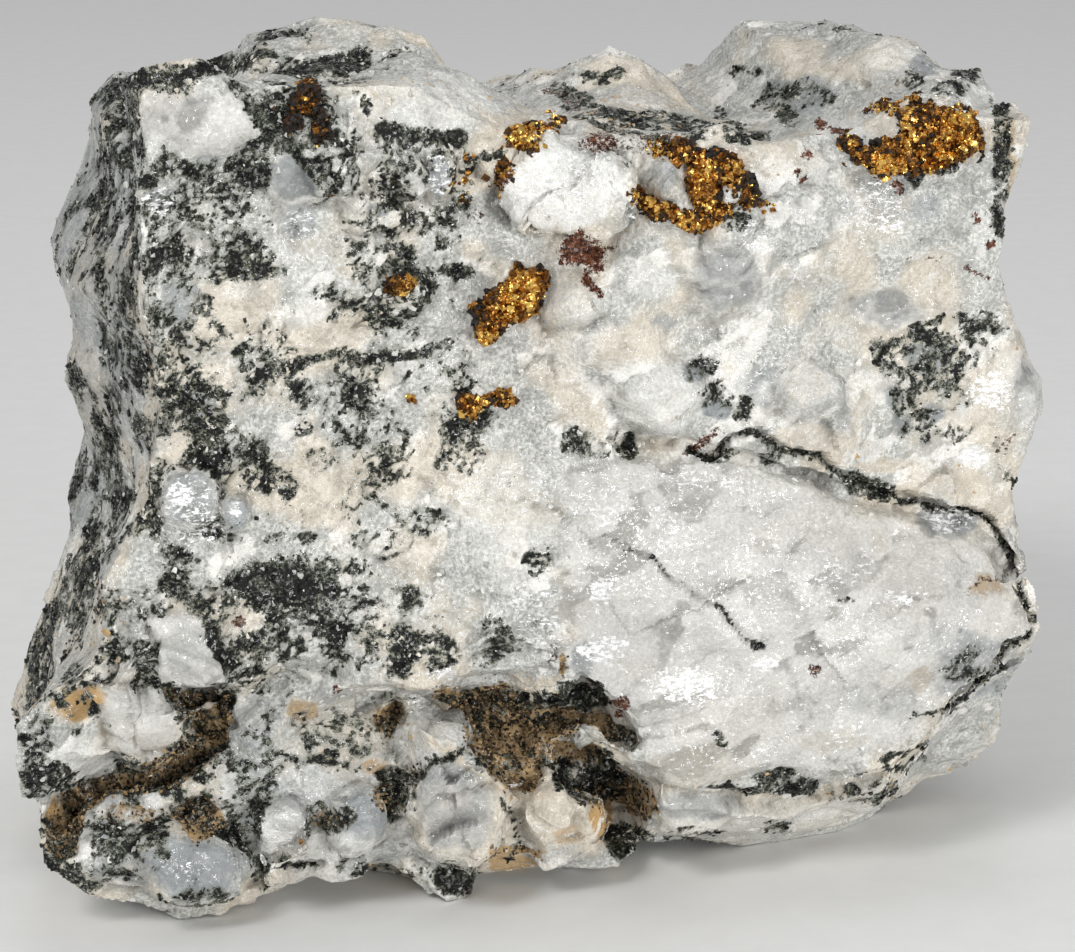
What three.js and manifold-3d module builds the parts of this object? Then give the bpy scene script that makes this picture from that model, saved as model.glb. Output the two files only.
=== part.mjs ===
// Chalcopyrite in massive vein quartz: a hand-sized specimen broken from a vein.
// One block of milky quartz carries masses of chalcopyrite grains, each seated in
// its own pocket of the broken front face.
// Millimetres, +Z up, the worked face towards -Y, and the origin on the surface
// that the block stands on, under the middle of its box.

import * as THREE from "three";
import { mergeVertices } from "three/addons/utils/BufferGeometryUtils.js";
import Module from "manifold-3d";

const wasm = await Module();
wasm.setup();

// ---------------------------------------------------------------- driving sizes
const DEPTH = 53; // nominal Y reach, front face to back
const HEIGHT = 72; // nominal Z reach
const FRONT = -DEPTH / 2; // the plane that the broken front face keeps to
const FACE_LIMIT = FRONT + 4.5; // the deepest that the broken face itself is set back
const SEGMENTS = { x: 26, y: 11, z: 22 }; // grid that the block is broken from
const [NOMINAL_LEFT, NOMINAL_RIGHT] = [-43, 45]; // X reach that the outlines are read over
const EDGE_WEAR = 0.05; // how far the block's own edges are rounded off
const SEAT_GAP = 0.3; // clearance between a chalcopyrite grain and its pocket
const BASE_LEVEL = -1.2; // the block is flat below this, where it stands

// Heights of the top and bottom along X, as [x, z], at four depths from front to back.
const TOP_LINES = [
  {
    depth: 0,
    line: [
      [-34, 70.2], [-29, 71.4], [-20, 71.2], [-5, 67], [5, 66], [14, 65.6], [18, 64.6],
      [24, 67], [28, 68], [33, 70.3], [36.5, 71], [39.5, 68.5], [42, 66],
    ],
  },
  {
    depth: 0.3,
    line: [
      [-34, 62.5], [-31, 71.5], [-23, 73.4], [-18, 73], [-16, 73.2],
      [-13.5, 72.2], [-11.5, 69.3], [-6.5, 68], [-2, 67], [5, 67.3],
      [10, 66.5], [18, 64.5], [22, 63.5], [28, 63], [33, 66], [36, 69.5],
      [39.5, 68.8], [41.5, 68], [43.5, 66],
    ],
  },
  {
    depth: 0.65,
    line: [
      [-33, 64], [-20, 66], [-5, 63], [5, 65.5], [9, 67], [13, 67.7],
      [17.5, 67.6], [22.5, 63.2], [26.5, 65], [30, 69.8], [38, 70.8],
      [41, 70.8], [44, 67],
    ],
  },
  { depth: 1, line: [[-33, 58], [-20, 60], [0, 62], [15, 63], [30, 66], [40, 65], [44, 60]] },
];
const BOTTOM_LINES = [
  {
    depth: 0,
    line: [
      [-43, 6.5], [-41, 3.6], [-38, 1.2], [-33, -1.2], [-28, -1.8], [-23, -1], [-17.5, 1.1],
      [-11, 0.5], [-8.5, -1.8], [-4, -1], [3, 0.6], [8.5, 0], [14, -1],
      [25, -2.8], [32, -3], [37.5, -2.6], [42, 0],
    ],
  },
  {
    depth: 0.2,
    line: [
      [-42, 5], [-38, 0.5], [-34, -1.4], [-4, -1.5], [6, -0.8], [14, 0.2],
      [24, 0.2], [34, 0], [44, 3.5],
    ],
  },
  { depth: 0.8, line: [[-42, 4], [-36, -1], [10, -2], [22, -1.4], [32, 0], [44, 6]] },
  { depth: 1, line: [[-42, 8], [-34, 2], [-10, 1.5], [16, 1.5], [32, 6], [44, 14]] },
];
// Places of the left and right sides along Z, as [z, x], at three depths.
const LEFT_LINES = [
  {
    depth: 0,
    line: [
      [0, -43], [6, -45.4], [11, -46.2], [14, -46.6], [18, -42.4], [21, -38.8],
      [28, -37.3], [35, -35], [41, -33.7], [53, -32.5], [64, -32.4], [71, -33.6],
    ],
  },
  {
    depth: 0.55,
    line: [
      [0, -41], [10, -42], [18, -39], [28, -37], [38, -36.1], [47, -37],
      [52, -37], [57.5, -39.8], [64, -38.6], [70, -34],
    ],
  },
  { depth: 1, line: [[0, -33], [12, -37], [25, -35], [40, -33], [55, -33.5], [65, -29], [72, -27]] },
];
const RIGHT_LINES = [
  {
    depth: 0,
    line: [
      [0, 44.5], [5, 46], [10, 46], [17, 45.3], [25, 45.2],
      [35, 42.5], [42, 44.4], [53, 42], [60, 40.5], [63, 41], [69, 41.5],
    ],
  },
  {
    depth: 0.35,
    line: [
      [0, 45], [8, 47.5], [20, 47], [24, 47], [30, 45], [35, 46.5], [40, 47],
      [48, 46], [53, 45], [57, 42], [63, 41.8], [66, 42.6], [69, 42.6],
    ],
  },
  { depth: 1, line: [[0, 30], [10, 36], [25, 42], [40, 43], [55, 40], [65, 38], [72, 35]] },
];

// ------------------------------------------------------------- small arithmetic
const mix = (a, b, t) => a + (b - a) * t;
const clamp01 = (t) => Math.min(1, Math.max(0, t));
const smooth = (a, b, t) => {
  const s = clamp01((t - a) / (b - a));
  return s * s * (3 - 2 * s);
};

// The value of a piecewise straight line of [at, value] points, held level past its ends.
function along(line, at) {
  if (at <= line[0][0]) return line[0][1];
  for (let i = 1; i < line.length; i++) {
    const [x0, y0] = line[i - 1];
    const [x1, y1] = line[i];
    if (at <= x1) return mix(y0, y1, (at - x0) / (x1 - x0));
  }
  return line[line.length - 1][1];
}

// The same across several such lines, each at its own depth from 0 (front) to 1 (back).
function acrossDepth(lines, at, depth) {
  for (let i = 1; i < lines.length; i++) {
    const near = lines[i - 1];
    const far = lines[i];
    if (depth <= far.depth) {
      const t = smooth(near.depth, far.depth, depth);
      return mix(along(near.line, at), along(far.line, at), t);
    }
  }
  return along(lines[lines.length - 1].line, at);
}

// A repeatable random number from 0 to 1 for three whole numbers and a seed.
function hash(i, j, k, seed) {
  let h = Math.imul(i, 374761393) + Math.imul(j, 668265263);
  h = (h + Math.imul(k, 1274126177) + Math.imul(seed, 2246822519)) | 0;
  h = Math.imul(h ^ (h >>> 13), 1274126177);
  h ^= h >>> 16;
  return (h >>> 0) / 4294967296;
}

// Concave scoops with sharp crests between them, as quartz breaks: the lowest of
// the shallow bowls round scattered points, each bowl with its own level and tilt.
function scoops(p, cell, seed) {
  const home = p.clone().divideScalar(cell).floor();
  const curve = 1 / (2.4 * cell);
  let lowest = Infinity;
  for (let n = 0; n < 27; n++) {
    const i = home.x + (n % 3) - 1;
    const j = home.y + (Math.floor(n / 3) % 3) - 1;
    const k = home.z + Math.floor(n / 9) - 1;
    const dx = p.x - (i + hash(i, j, k, seed)) * cell;
    const dy = p.y - (j + hash(i, j, k, seed + 1)) * cell;
    const dz = p.z - (k + hash(i, j, k, seed + 2)) * cell;
    const tilt = 0.35 * (hash(i, j, k, seed + 3) - 0.5);
    const level = 0.16 * cell * (hash(i, j, k, seed + 4) - 0.5);
    const bowl = (dx * dx + dy * dy + dz * dz) * curve + tilt * (dx - dy + dz) + level;
    lowest = Math.min(lowest, bowl);
  }
  return lowest;
}

// ------------------------------------------------------------ relief of the front
// Lines across the face, as [x, z].
const LEDGE = [
  [-46, 11], [-41, 12.3], [-35, 17], [-31, 18.5], [-26, 20.1], [-20, 20],
  [-14, 19.5], [-10, 19.2], [-5, 18.5], [0, 17.9], [2.5, 17], [5, 13],
  [8.5, 9.7], [16, 8.6], [25, 9.5], [31, 11], [36, 15.5], [44, 20],
];
const SEAM = [
  [6, 43], [10, 41], [13.5, 39.5], [19, 38.4], [25, 35.5], [29.5, 33],
  [36, 32.2], [40.5, 28.4], [44, 23.7],
];

// The pale massif of solid quartz that fills the lower right, under the seam.
const MASSIF = { x: 21, z: 23, halfWidth: 25, halfHeight: 17, proud: 4.6, merge: 9 };
// Under the ledge the face steps back, then regains some of it as broken lumps, and
// falls away again at the foot. Right of endX the massif's underside slopes back.
const BAND = { endX: 9, step: 4.2, regain: 3, foot: 2.2, undersideSlope: 0.95 };
// The right end above the seam falls back towards the seam.
const RIGHT_END = { startX: 14, fullX: 30, height: 9, topZ: 60, fullZ: 46, setBack: 1.6 };
// Low swells (+) and worn hollows (-) with soft edges.
const SWELLS = [
  { x: 24, z: 60, halfWidth: 9, halfHeight: 6, proud: 1.2 },
  { x: -27, z: 66, halfWidth: 8, halfHeight: 6, proud: 0.9 },
  { x: -28.5, z: 49, halfWidth: 3, halfHeight: 14, proud: -0.9 },
];

// How far the front face stands out (+) or is set back (-) at a place on it.
function frontRelief(x, z) {
  const overSeam = z - along(SEAM, x);
  const across = (x - MASSIF.x) / MASSIF.halfWidth;
  const up = (z - MASSIF.z) / MASSIF.halfHeight;
  const dome = Math.sqrt(Math.max(0, 1 - across * across - up * up));
  let out = MASSIF.proud * dome * smooth(0, MASSIF.merge, -overSeam);
  const under = along(LEDGE, x) - z;
  if (x < BAND.endX) {
    out -= BAND.step * smooth(-0.4, 1.8, under);
    out += BAND.regain * smooth(3, 8, under);
    out -= BAND.foot * smooth(12, 19, under);
  } else {
    out -= BAND.undersideSlope * Math.max(0, under);
  }
  const end = smooth(RIGHT_END.startX, RIGHT_END.fullX, x) * smooth(RIGHT_END.topZ, RIGHT_END.fullZ, z);
  out -= RIGHT_END.setBack * end * smooth(0, RIGHT_END.height, overSeam);
  SWELLS.forEach((swell) => {
    const dx = (x - swell.x) / swell.halfWidth;
    const dz = (z - swell.z) / swell.halfHeight;
    out += swell.proud * Math.exp(-(dx * dx + dz * dz));
  });
  return out;
}

// ---------------------------------------------------------------- mesh and solid
function toSolid(geometry) {
  geometry.deleteAttribute("normal");
  geometry.deleteAttribute("uv");
  const merged = mergeVertices(geometry, 1e-4);
  const mesh = new wasm.Mesh({
    numProp: 3,
    vertProperties: new Float32Array(merged.attributes.position.array),
    triVerts: new Uint32Array(merged.index.array),
  });
  return new wasm.Manifold(mesh);
}

function toGeometry(solid) {
  const mesh = solid.getMesh();
  const geometry = new THREE.BufferGeometry();
  geometry.setAttribute("position", new THREE.BufferAttribute(mesh.vertProperties, 3));
  geometry.setIndex(new THREE.BufferAttribute(mesh.triVerts, 1));
  return geometry;
}

// Only the largest body of a solid, so that a cut leaves no loose splinter.
function largest(solid) {
  const bodies = solid.decompose();
  return bodies.reduce((a, b) => (b.volume() > a.volume() ? b : a));
}

// ------------------------------------------------------------------- the block
// A cube coordinate drawn in where the other two are near the cube's edges.
function worn(u, v, w) {
  const shrink = 1 - (EDGE_WEAR * (v * v + w * w)) / 2 + (EDGE_WEAR * v * w) ** 2 / 3;
  return u * Math.sqrt(shrink);
}

// The place on the bare block of a point on the cube that reaches from -1 to 1.
function blockSurface(a, b, c) {
  const u = (worn(a, b, c) + 1) / 2;
  const depth = clamp01((worn(b, a, c) + 1) / 2);
  const v = (worn(c, a, b) + 1) / 2;
  const alongX = mix(NOMINAL_LEFT, NOMINAL_RIGHT, u);
  const upZ = v * HEIGHT;
  return new THREE.Vector3(
    mix(acrossDepth(LEFT_LINES, upZ, depth), acrossDepth(RIGHT_LINES, upZ, depth), u),
    mix(FRONT, -FRONT, depth),
    mix(acrossDepth(BOTTOM_LINES, alongX, depth), acrossDepth(TOP_LINES, alongX, depth), v),
  );
}

// How the two sizes of scoop are cut into the front face and into the other sides.
const COARSE_SCOOPS = { cell: 15, seed: 11, onFace: 0.4, onSides: 1, crest: 1.6 };
const FINE_SCOOPS = { cell: 6.5, seed: 41, onFace: 0.75, onSides: 0.4, crest: 0.7 };

// Each point of a gridded box is carried to the broken block's surface.
function makeBlock() {
  const box = new THREE.BoxGeometry(2, 2, 2, SEGMENTS.x, SEGMENTS.y, SEGMENTS.z);
  const place = box.attributes.position;
  const cube = new THREE.Vector3();
  const outward = new THREE.Vector3();
  for (let i = 0; i < place.count; i++) {
    cube.fromBufferAttribute(place, i);
    const p = blockSurface(...cube);
    outward.set(cube.x ** 5, cube.y ** 5, cube.z ** 5).normalize();
    const facing = smooth(0.55, 0.95, -outward.y);
    p.y -= frontRelief(p.x, p.z) * smooth(0.2, 0.8, -cube.y);
    [COARSE_SCOOPS, FINE_SCOOPS].forEach(({ cell, seed, onFace, onSides, crest }) => {
      const cut = scoops(p, cell, seed) - crest;
      p.addScaledVector(outward, mix(onSides, onFace, facing) * cut);
    });
    place.setXYZ(i, ...p);
  }
  return toSolid(box);
}

// The y of the front face at an x and z, met by a ray from in front of it, and no
// further in than the face's own relief reaches.
function faceFinder(solid) {
  const mesh = new THREE.Mesh(toGeometry(solid), new THREE.MeshBasicMaterial());
  mesh.updateMatrixWorld(true);
  const ray = new THREE.Raycaster();
  const start = new THREE.Vector3();
  const inward = new THREE.Vector3(0, 1, 0);
  return (x, z) => {
    ray.set(start.set(x, -3 * DEPTH, z), inward);
    const hits = ray.intersectObject(mesh);
    return hits.length ? Math.min(hits[0].point.y, FACE_LIMIT) : FACE_LIMIT;
  };
}

// --------------------------------------------------- shapes laid on the front face
// A prism of an outline in X and Z that follows the face: it starts sink mm inside
// the face and ends proud mm in front of it, or it has flat ends at y = back and
// y = front. Its outer end is bevelled and flared, and rough moves every point.
function slab(piece, faceAt) {
  const { outline, sink, proud, back, front, bevel = 0, flare = 1, rough = 0 } = piece;
  const shape = new THREE.Shape(outline.map(([x, z]) => new THREE.Vector2(x, z)));
  const geometry = new THREE.ExtrudeGeometry(shape, { depth: 1, bevelEnabled: false });
  const centre = middleOf(outline);
  const place = geometry.attributes.position;
  for (let i = 0; i < place.count; i++) {
    const [x, z] = [place.getX(i), place.getY(i)];
    const outer = place.getZ(i) > 0.5;
    const y = outer ? (front ?? faceAt(x, z) - proud) : (back ?? faceAt(x, z) + sink);
    const away = new THREE.Vector2(x, z).sub(centre);
    const size = outer ? flare - bevel / away.length() : 1;
    const key = [Math.round(x * 50), outer ? 1 : 0, Math.round(z * 50)];
    const wobble = (seed) => rough * 2 * (hash(...key, seed) - 0.5);
    place.setXYZ(
      i,
      centre.x + away.x * size + wobble(1),
      y + wobble(2),
      centre.y + away.y * size + wobble(3),
    );
  }
  return toSolid(geometry);
}

function middleOf(outline) {
  const sum = new THREE.Vector2();
  outline.forEach(([x, z]) => sum.add(new THREE.Vector2(x, z)));
  return sum.divideScalar(outline.length);
}

// The outline moved outwards by a distance.
function grown(outline, by) {
  const count = outline.length;
  return outline.map(([x, z], i) => {
    const [x0, z0] = outline[(i + count - 1) % count];
    const [x1, z1] = outline[(i + 1) % count];
    const side = new THREE.Vector2(z1 - z0, x0 - x1).normalize().multiplyScalar(by * turn(outline));
    return [x + side.x, z + side.y];
  });
}

// +1 for an outline that runs counter-clockwise in X and Z, or -1.
function turn(outline) {
  return Math.sign(THREE.ShapeUtils.area(outline.map(([x, z]) => new THREE.Vector2(x, z))));
}

// A rough, roundish lump with flat faces, half sunk in the face.
function lump({ at, radii, seed, geometry = new THREE.IcosahedronGeometry(1, 1), rough = 0.16 }) {
  const place = geometry.attributes.position;
  const spin = new THREE.Euler(seed, 2 * seed, 3 * seed);
  const p = new THREE.Vector3();
  for (let i = 0; i < place.count; i++) {
    p.fromBufferAttribute(place, i);
    const key = [Math.round(p.x * 100), Math.round(p.y * 100), Math.round(p.z * 100)];
    p.multiplyScalar(1 + rough * 2 * (hash(...key, seed) - 0.5));
    p.applyEuler(spin).multiply(new THREE.Vector3(...radii));
    place.setXYZ(i, at[0] + p.x, at[1] + p.y, at[2] + p.z);
  }
  return toSolid(geometry);
}

// A V-shaped trench along a route of [x, z, half width, depth] points on the face.
function trench(route, faceAt) {
  const last = route.length - 1;
  const ring = route.map(([x, z, half, depth], i) => {
    const [x0, z0] = route[Math.max(0, i - 1)];
    const [x1, z1] = route[Math.min(last, i + 1)];
    const side = new THREE.Vector2(z0 - z1, x1 - x0).normalize().multiplyScalar(half);
    const y = faceAt(x, z);
    return [
      [x + side.x * 2, y - depth, z + side.y * 2],
      [x, y + depth, z],
      [x - side.x * 2, y - depth, z - side.y * 2],
    ];
  });
  const corners = [...ring[0], ...ring[last].toReversed()];
  for (let i = 0; i < last; i++) {
    for (let k = 0; k < 3; k++) {
      const [a, b] = [ring[i][k], ring[i][(k + 1) % 3]];
      const [c, d] = [ring[i + 1][k], ring[i + 1][(k + 1) % 3]];
      corners.push(a, c, b, b, c, d);
    }
  }
  const geometry = new THREE.BufferGeometry();
  geometry.setAttribute("position", new THREE.Float32BufferAttribute(corners.flat(), 3));
  return toSolid(geometry);
}

// ------------------------------------------------- what stands out of the block
const WHITE_CRYSTAL = {
  outline: [
    [-3.9, 61.6], [-3.4, 59.8], [-1.2, 58.5], [2, 58.3], [4.5, 58.6], [5.9, 60.4],
    [6.4, 62.7], [4.5, 63.6], [2.4, 64.8], [0.1, 65.6], [-2.6, 63.6],
  ],
  sink: 3,
  proud: 1.7,
  bevel: 0.9,
  rough: 0.3,
};
const CORNER_PLATE = {
  outline: [
    [-42, 15.6], [-38.4, 14.7], [-33.7, 14.7], [-30.7, 15.8], [-28.6, 17.6],
    [-26.5, 20.4], [-27.2, 23.5], [-31.3, 25.2], [-35, 25.4], [-38.4, 21],
  ],
  sink: 3,
  proud: 1.9,
  bevel: 1,
  rough: 0.4,
};
const LEDGE_LIP = {
  outline: [
    [-10.5, 19.2], [-6.6, 19.2], [-3.1, 18.8], [-1.6, 17.9], [1, 17.9], [1.4, 19.8],
    [1.8, 21.8], [0, 25], [-5, 25.5], [-9.5, 23],
  ],
  sink: 3,
  proud: 1,
  bevel: 0.8,
  rough: 0.3,
};
// Lumps of the broken lower band: [x, z, half width, half height, how proud].
const BAND_LUMPS = [
  [-33, 5.6, 8, 3.8, 2.6],
  [-7.2, 8.6, 5.2, 5, 3.2],
  [-9.8, 14.9, 3.9, 2.1, 1.8],
  [-23.7, 15.2, 3, 2.4, 1.7],
  [-22.8, 8.8, 2.2, 2.4, 1.8],
  [-17.6, 8.8, 3, 2.8, 1.6],
  [0.4, 8.8, 2.7, 3.3, 2],
  [13.4, 6.8, 4, 2.1, 1.4],
  [-17.6, 3.4, 4.5, 2.2, 1.3],
];
const LUMP_DEPTH = 3.4; // half the thickness of such a lump, from front to back

// ------------------------------------------------------ what is broken into it
const CAVITIES = [
  // Under the corner plate.
  {
    outline: [[-32.8, 20.4], [-31.4, 17.5], [-27.6, 17.5], [-27.2, 20.9]],
    sink: 3.6,
    proud: 3,
    rough: 0.2,
  },
  // Under the lip of the ledge.
  {
    outline: [
      [-10, 19], [-9.8, 17.2], [-6.6, 15.1], [-3.6, 12.2], [-1.2, 11.6], [2.1, 14.6],
      [8.1, 13.4], [4.9, 18.2], [2.6, 20.6], [1.4, 18.3], [-3.5, 18.6],
    ],
    sink: 4.6,
    proud: 4,
    rough: 0.4,
  },
  // The deep black hollow at the foot of the massif.
  {
    outline: [[1.7, 12], [2.6, 8], [4.6, 4.6], [7, 2], [10.2, 1.6], [8.8, 9.4], [3.8, 12.6]],
    sink: 6.5,
    proud: 4,
    flare: 1.1,
    rough: 0.4,
  },
  {
    outline: [[-15.9, 15.4], [-13.4, 16.2], [-12.9, 18.3], [-15.2, 18.3]],
    sink: 3,
    proud: 3,
    rough: 0.2,
  },
];
const TRENCHES = [
  // The porous band under the corner plate.
  [
    [-26.4, 19.2, 0.8, 1.5], [-28, 16.6, 1.2, 2.6], [-31.2, 13.6, 1.5, 3], [-36, 12.6, 1.5, 3],
    [-39.8, 11.2, 1.5, 2.6], [-42, 8, 1.2, 2],
  ],
  // The fracture over the massif.
  [
    [7, 41.2, 0.3, 0.4], [13.5, 39.2, 0.6, 1.2], [19, 37.8, 0.8, 1.6], [25, 35, 0.9, 1.8],
    [29.5, 32.6, 0.9, 1.8], [36, 31.8, 0.9, 1.8], [40.5, 28, 0.9, 1.8], [45, 22.5, 0.7, 1.6],
  ],
  // The fracture under it.
  [
    [45, 19.5, 0.9, 1.6], [39.9, 16.8, 1, 2], [36.3, 14.2, 0.9, 1.8], [33.3, 9.8, 0.9, 1.8],
    [30.1, 7.6, 0.9, 2], [22.9, 6.2, 0.8, 1.8], [15, 8.6, 0.6, 1.4], [10, 9, 0.6, 1.4],
  ],
];

// ------------------------------------------------------------- the chalcopyrite
// Each mass fills an outline on the face with grains, pitch mm apart.
const MASSES = {
  chalcopyrite_upper_right: {
    pitch: 2.2,
    outline: [
      [24, 62.6], [24.3, 64], [28.3, 63.9], [30, 65.8], [33.6, 66.4], [36.4, 65.4],
      [37, 63.4], [36, 61.5], [32.9, 60.8], [29.8, 60.8],
    ],
  },
  chalcopyrite_beside_crystal: {
    pitch: 1.9,
    outline: [
      [7.4, 60.9], [8.6, 59.2], [12, 58.4], [14.3, 57.2], [16.8, 57.8], [17.2, 60.6],
      [15.6, 63.2], [12.4, 65], [10.6, 64.4], [12.4, 61.6],
    ],
  },
  chalcopyrite_middle: {
    pitch: 1.8,
    outline: [[-5, 48.8], [-5.8, 52.4], [-2.9, 55.2], [-0.7, 55], [-0.7, 52.4], [-3, 50.4]],
  },
  chalcopyrite_above_crystal: {
    pitch: 1.4,
    outline: [[-5.6, 60.8], [-4.8, 63.4], [-3.2, 65.4], [-0.4, 66], [-0.8, 65], [-2.8, 63.6], [-4.4, 61]],
  },
  chalcopyrite_small: {
    pitch: 1.3,
    outline: [[-7, 43.4], [-6.2, 45.1], [-4.4, 44.6], [-2, 44.9], [-2.4, 43.3], [-5.2, 42.3]],
  },
  chalcopyrite_upper_left: {
    pitch: 2,
    outline: [
      [-24, 68.6], [-20.6, 69.8], [-18.4, 70], [-17, 67.7], [-15.8, 65.2],
      [-15.4, 62.2], [-17.6, 61.4], [-19.4, 63.6], [-21, 66.6],
    ],
  },
  chalcopyrite_dark_ring: {
    pitch: 1.5,
    outline: [[-12.6, 54.6], [-10.6, 54.8], [-9.6, 52.8], [-10.8, 51.4], [-12.8, 51.8]],
  },
};
const MASS_SINK = 2.2; // how deep a mass is seated under the face
const BED_DIP = 0.2; // how far a mass's bed lies under the face between its grains
const CLEAR_OF_FACE = FRONT - 15; // a plane in front of all of the face's relief

function inside(outline, x, z) {
  let odd = false;
  outline.forEach(([xi, zi], i) => {
    const [xj, zj] = outline[(i + outline.length - 1) % outline.length];
    if (zi > z !== zj > z && x < ((xj - xi) * (z - zi)) / (zj - zi) + xi) odd = !odd;
  });
  return odd;
}

// Grains at every pitch inside the outline, on rows that are set in like bricks.
function grainsOf({ outline, pitch }, seed, faceAt) {
  const low = [0, 1].map((k) => Math.min(...outline.map((p) => p[k])));
  const high = [0, 1].map((k) => Math.max(...outline.map((p) => p[k])));
  const rise = pitch * Math.sin(Math.PI / 3);
  const grains = [];
  let row = 0;
  for (let z = low[1] + rise / 3; z < high[1]; z += rise) {
    for (let x = low[0] + (row % 2) * (pitch / 2); x < high[0]; x += pitch) {
      if (!inside(outline, x, z)) continue;
      const chance = hash(grains.length, row, 0, seed);
      const size = pitch * mix(0.75, 0.95, chance);
      const y = faceAt(x, z) + mix(0.3, -0.3, chance);
      const geometry = new THREE.OctahedronGeometry();
      grains.push(lump({ at: [x, y, z], radii: [size, size, size], seed: seed + grains.length, geometry }));
    }
    row += 1;
  }
  return grains.reduce((a, b) => a.add(b));
}

// The flat at the back of a mass, clear of the face all over the mass's outline.
function bedOf({ outline }, faceAt) {
  return MASS_SINK + Math.max(...outline.map(([x, z]) => faceAt(x, z)));
}

function makeMass(mass, seed, faceAt) {
  const { outline } = mass;
  const back = bedOf(mass, faceAt);
  const bed = slab({ outline, back, proud: -BED_DIP }, faceAt);
  const limit = slab({ outline, back: back - MASS_SINK / 2, front: CLEAR_OF_FACE }, faceAt);
  return largest(bed.add(grainsOf(mass, seed, faceAt).intersect(limit)));
}

function pocketFor(mass, faceAt) {
  const outline = grown(mass.outline, SEAT_GAP);
  return slab({ outline, back: bedOf(mass, faceAt) + SEAT_GAP, front: CLEAR_OF_FACE }, faceAt);
}

// ------------------------------------------------------------------ all together
function makeQuartz() {
  const block = makeBlock();
  const faceAt = faceFinder(block);
  const lumps = BAND_LUMPS.map(([x, z, halfWidth, halfHeight, proud], i) =>
    lump({
      at: [x, faceAt(x, z) + LUMP_DEPTH - proud, z],
      radii: [halfWidth, LUMP_DEPTH, halfHeight],
      seed: 70 + i,
    }),
  );
  const added = [WHITE_CRYSTAL, CORNER_PLATE, LEDGE_LIP].map((piece) => slab(piece, faceAt));
  const cut = [
    ...CAVITIES.map((cavity) => slab(cavity, faceAt)),
    ...TRENCHES.map((route) => trench(route, faceAt)),
    groundBelow(BASE_LEVEL),
  ];
  const whole = [...added, ...lumps].reduce((a, b) => a.add(b), block);
  return largest(cut.reduce((a, b) => a.subtract(b), whole));
}

// A slab of ground whose top is at a height, for cutting the flat that the block stands on.
function groundBelow(level) {
  const ground = new THREE.BoxGeometry(3 * DEPTH, 3 * DEPTH, DEPTH);
  ground.translate(0, 0, level - DEPTH / 2);
  return toSolid(ground);
}

const milkyQuartz = new THREE.MeshStandardMaterial({
  color: 0xd9d6d0,
  roughness: 0.45,
  metalness: 0,
});
const chalcopyrite = new THREE.MeshStandardMaterial({
  color: 0xb5822e,
  roughness: 0.35,
  metalness: 0.9,
});

// Masses that grew in the quartz: each is a body of its own in its own pocket.
function makeSpecimen() {
  const group = new THREE.Group();
  const place = (name, solid, material) => {
    const mesh = new THREE.Mesh(toGeometry(solid), material);
    mesh.name = name;
    group.add(mesh);
  };
  let quartz = makeQuartz();
  const faceAt = faceFinder(quartz);
  Object.entries(MASSES).forEach(([name, mass], i) => {
    quartz = quartz.subtract(pocketFor(mass, faceAt));
    place(name, makeMass(mass, 500 + 97 * i, faceAt), chalcopyrite);
  });
  place("quartz_block", largest(quartz), milkyQuartz);
  return group;
}

// The origin goes to the middle of the box, at the level that the block stands on.
const specimen = makeSpecimen();
const box = new THREE.Box3().setFromObject(specimen);
const middle = box.getCenter(new THREE.Vector3());
specimen.position.set(-middle.x, -middle.y, -box.min.z);

const root = new THREE.Group();
root.add(specimen);
export default root;
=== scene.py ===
import logging
import math
from dataclasses import dataclass, field
from enum import Enum
from typing import Any, Iterable, Sequence

import bmesh
import bpy
import numpy as np
from mathutils import Matrix, Vector


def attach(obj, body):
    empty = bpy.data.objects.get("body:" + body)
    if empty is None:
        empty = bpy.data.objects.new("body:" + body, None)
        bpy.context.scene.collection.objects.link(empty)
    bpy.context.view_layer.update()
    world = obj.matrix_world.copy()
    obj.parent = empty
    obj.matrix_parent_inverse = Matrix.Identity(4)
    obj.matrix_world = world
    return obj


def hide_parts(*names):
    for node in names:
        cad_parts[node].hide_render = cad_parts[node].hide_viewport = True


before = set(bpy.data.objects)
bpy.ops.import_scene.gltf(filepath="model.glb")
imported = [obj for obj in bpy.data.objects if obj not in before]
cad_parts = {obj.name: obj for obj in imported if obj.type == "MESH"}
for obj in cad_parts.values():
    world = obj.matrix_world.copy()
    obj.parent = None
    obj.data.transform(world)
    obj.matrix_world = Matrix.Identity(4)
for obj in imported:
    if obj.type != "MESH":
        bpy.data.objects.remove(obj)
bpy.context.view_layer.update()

# Chalcopyrite in milky quartz: a broken hand specimen about 94 mm wide that stands on its flat underside.
# Lengths are in millimetres until a mesh is made; Blender gets metres.

MM = 0.001
BODY = "root"
LOG = logging.getLogger("specimen")
Array = np.ndarray
Node = bpy.types.Object
Material = bpy.types.Material
Points = Sequence[tuple[float, float]]


# ---------------- repeatable noise

AXIS_PRIMES = (73856093, 19349663, 83492791)
SEED_PRIME = 2654435761
STIRS = ((15, 2246822519), (13, 3266489917), (16, 1))  # shift and factor of each stirring of a cell's bits
TEN_BITS = 1023
OWNERS = 997  # how many different numbers a facet may get
LAYER_SEEDS = 31  # how far apart the seeds of a noise's layers lie
NEIGHBOURS = tuple((i % 3 - 1, i // 3 % 3 - 1, i // 9 - 1) for i in range(27))
CORNERS = tuple((i & 1, i >> 1 & 1, i >> 2) for i in range(8))


def lattice(points: Array, size: float) -> tuple[Array, Array]:
    """The whole-number cell of each point and its place in the cell, each as three rows.

    Args:
        points: (N, 3) in mm.
        size: width of a cell.

    Returns:
        Three rows of cell numbers and three of places from 0 to 1.
    """
    q = np.ascontiguousarray((points / size).T)
    base = np.floor(q)
    return base.astype(np.int32), q - base


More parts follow.
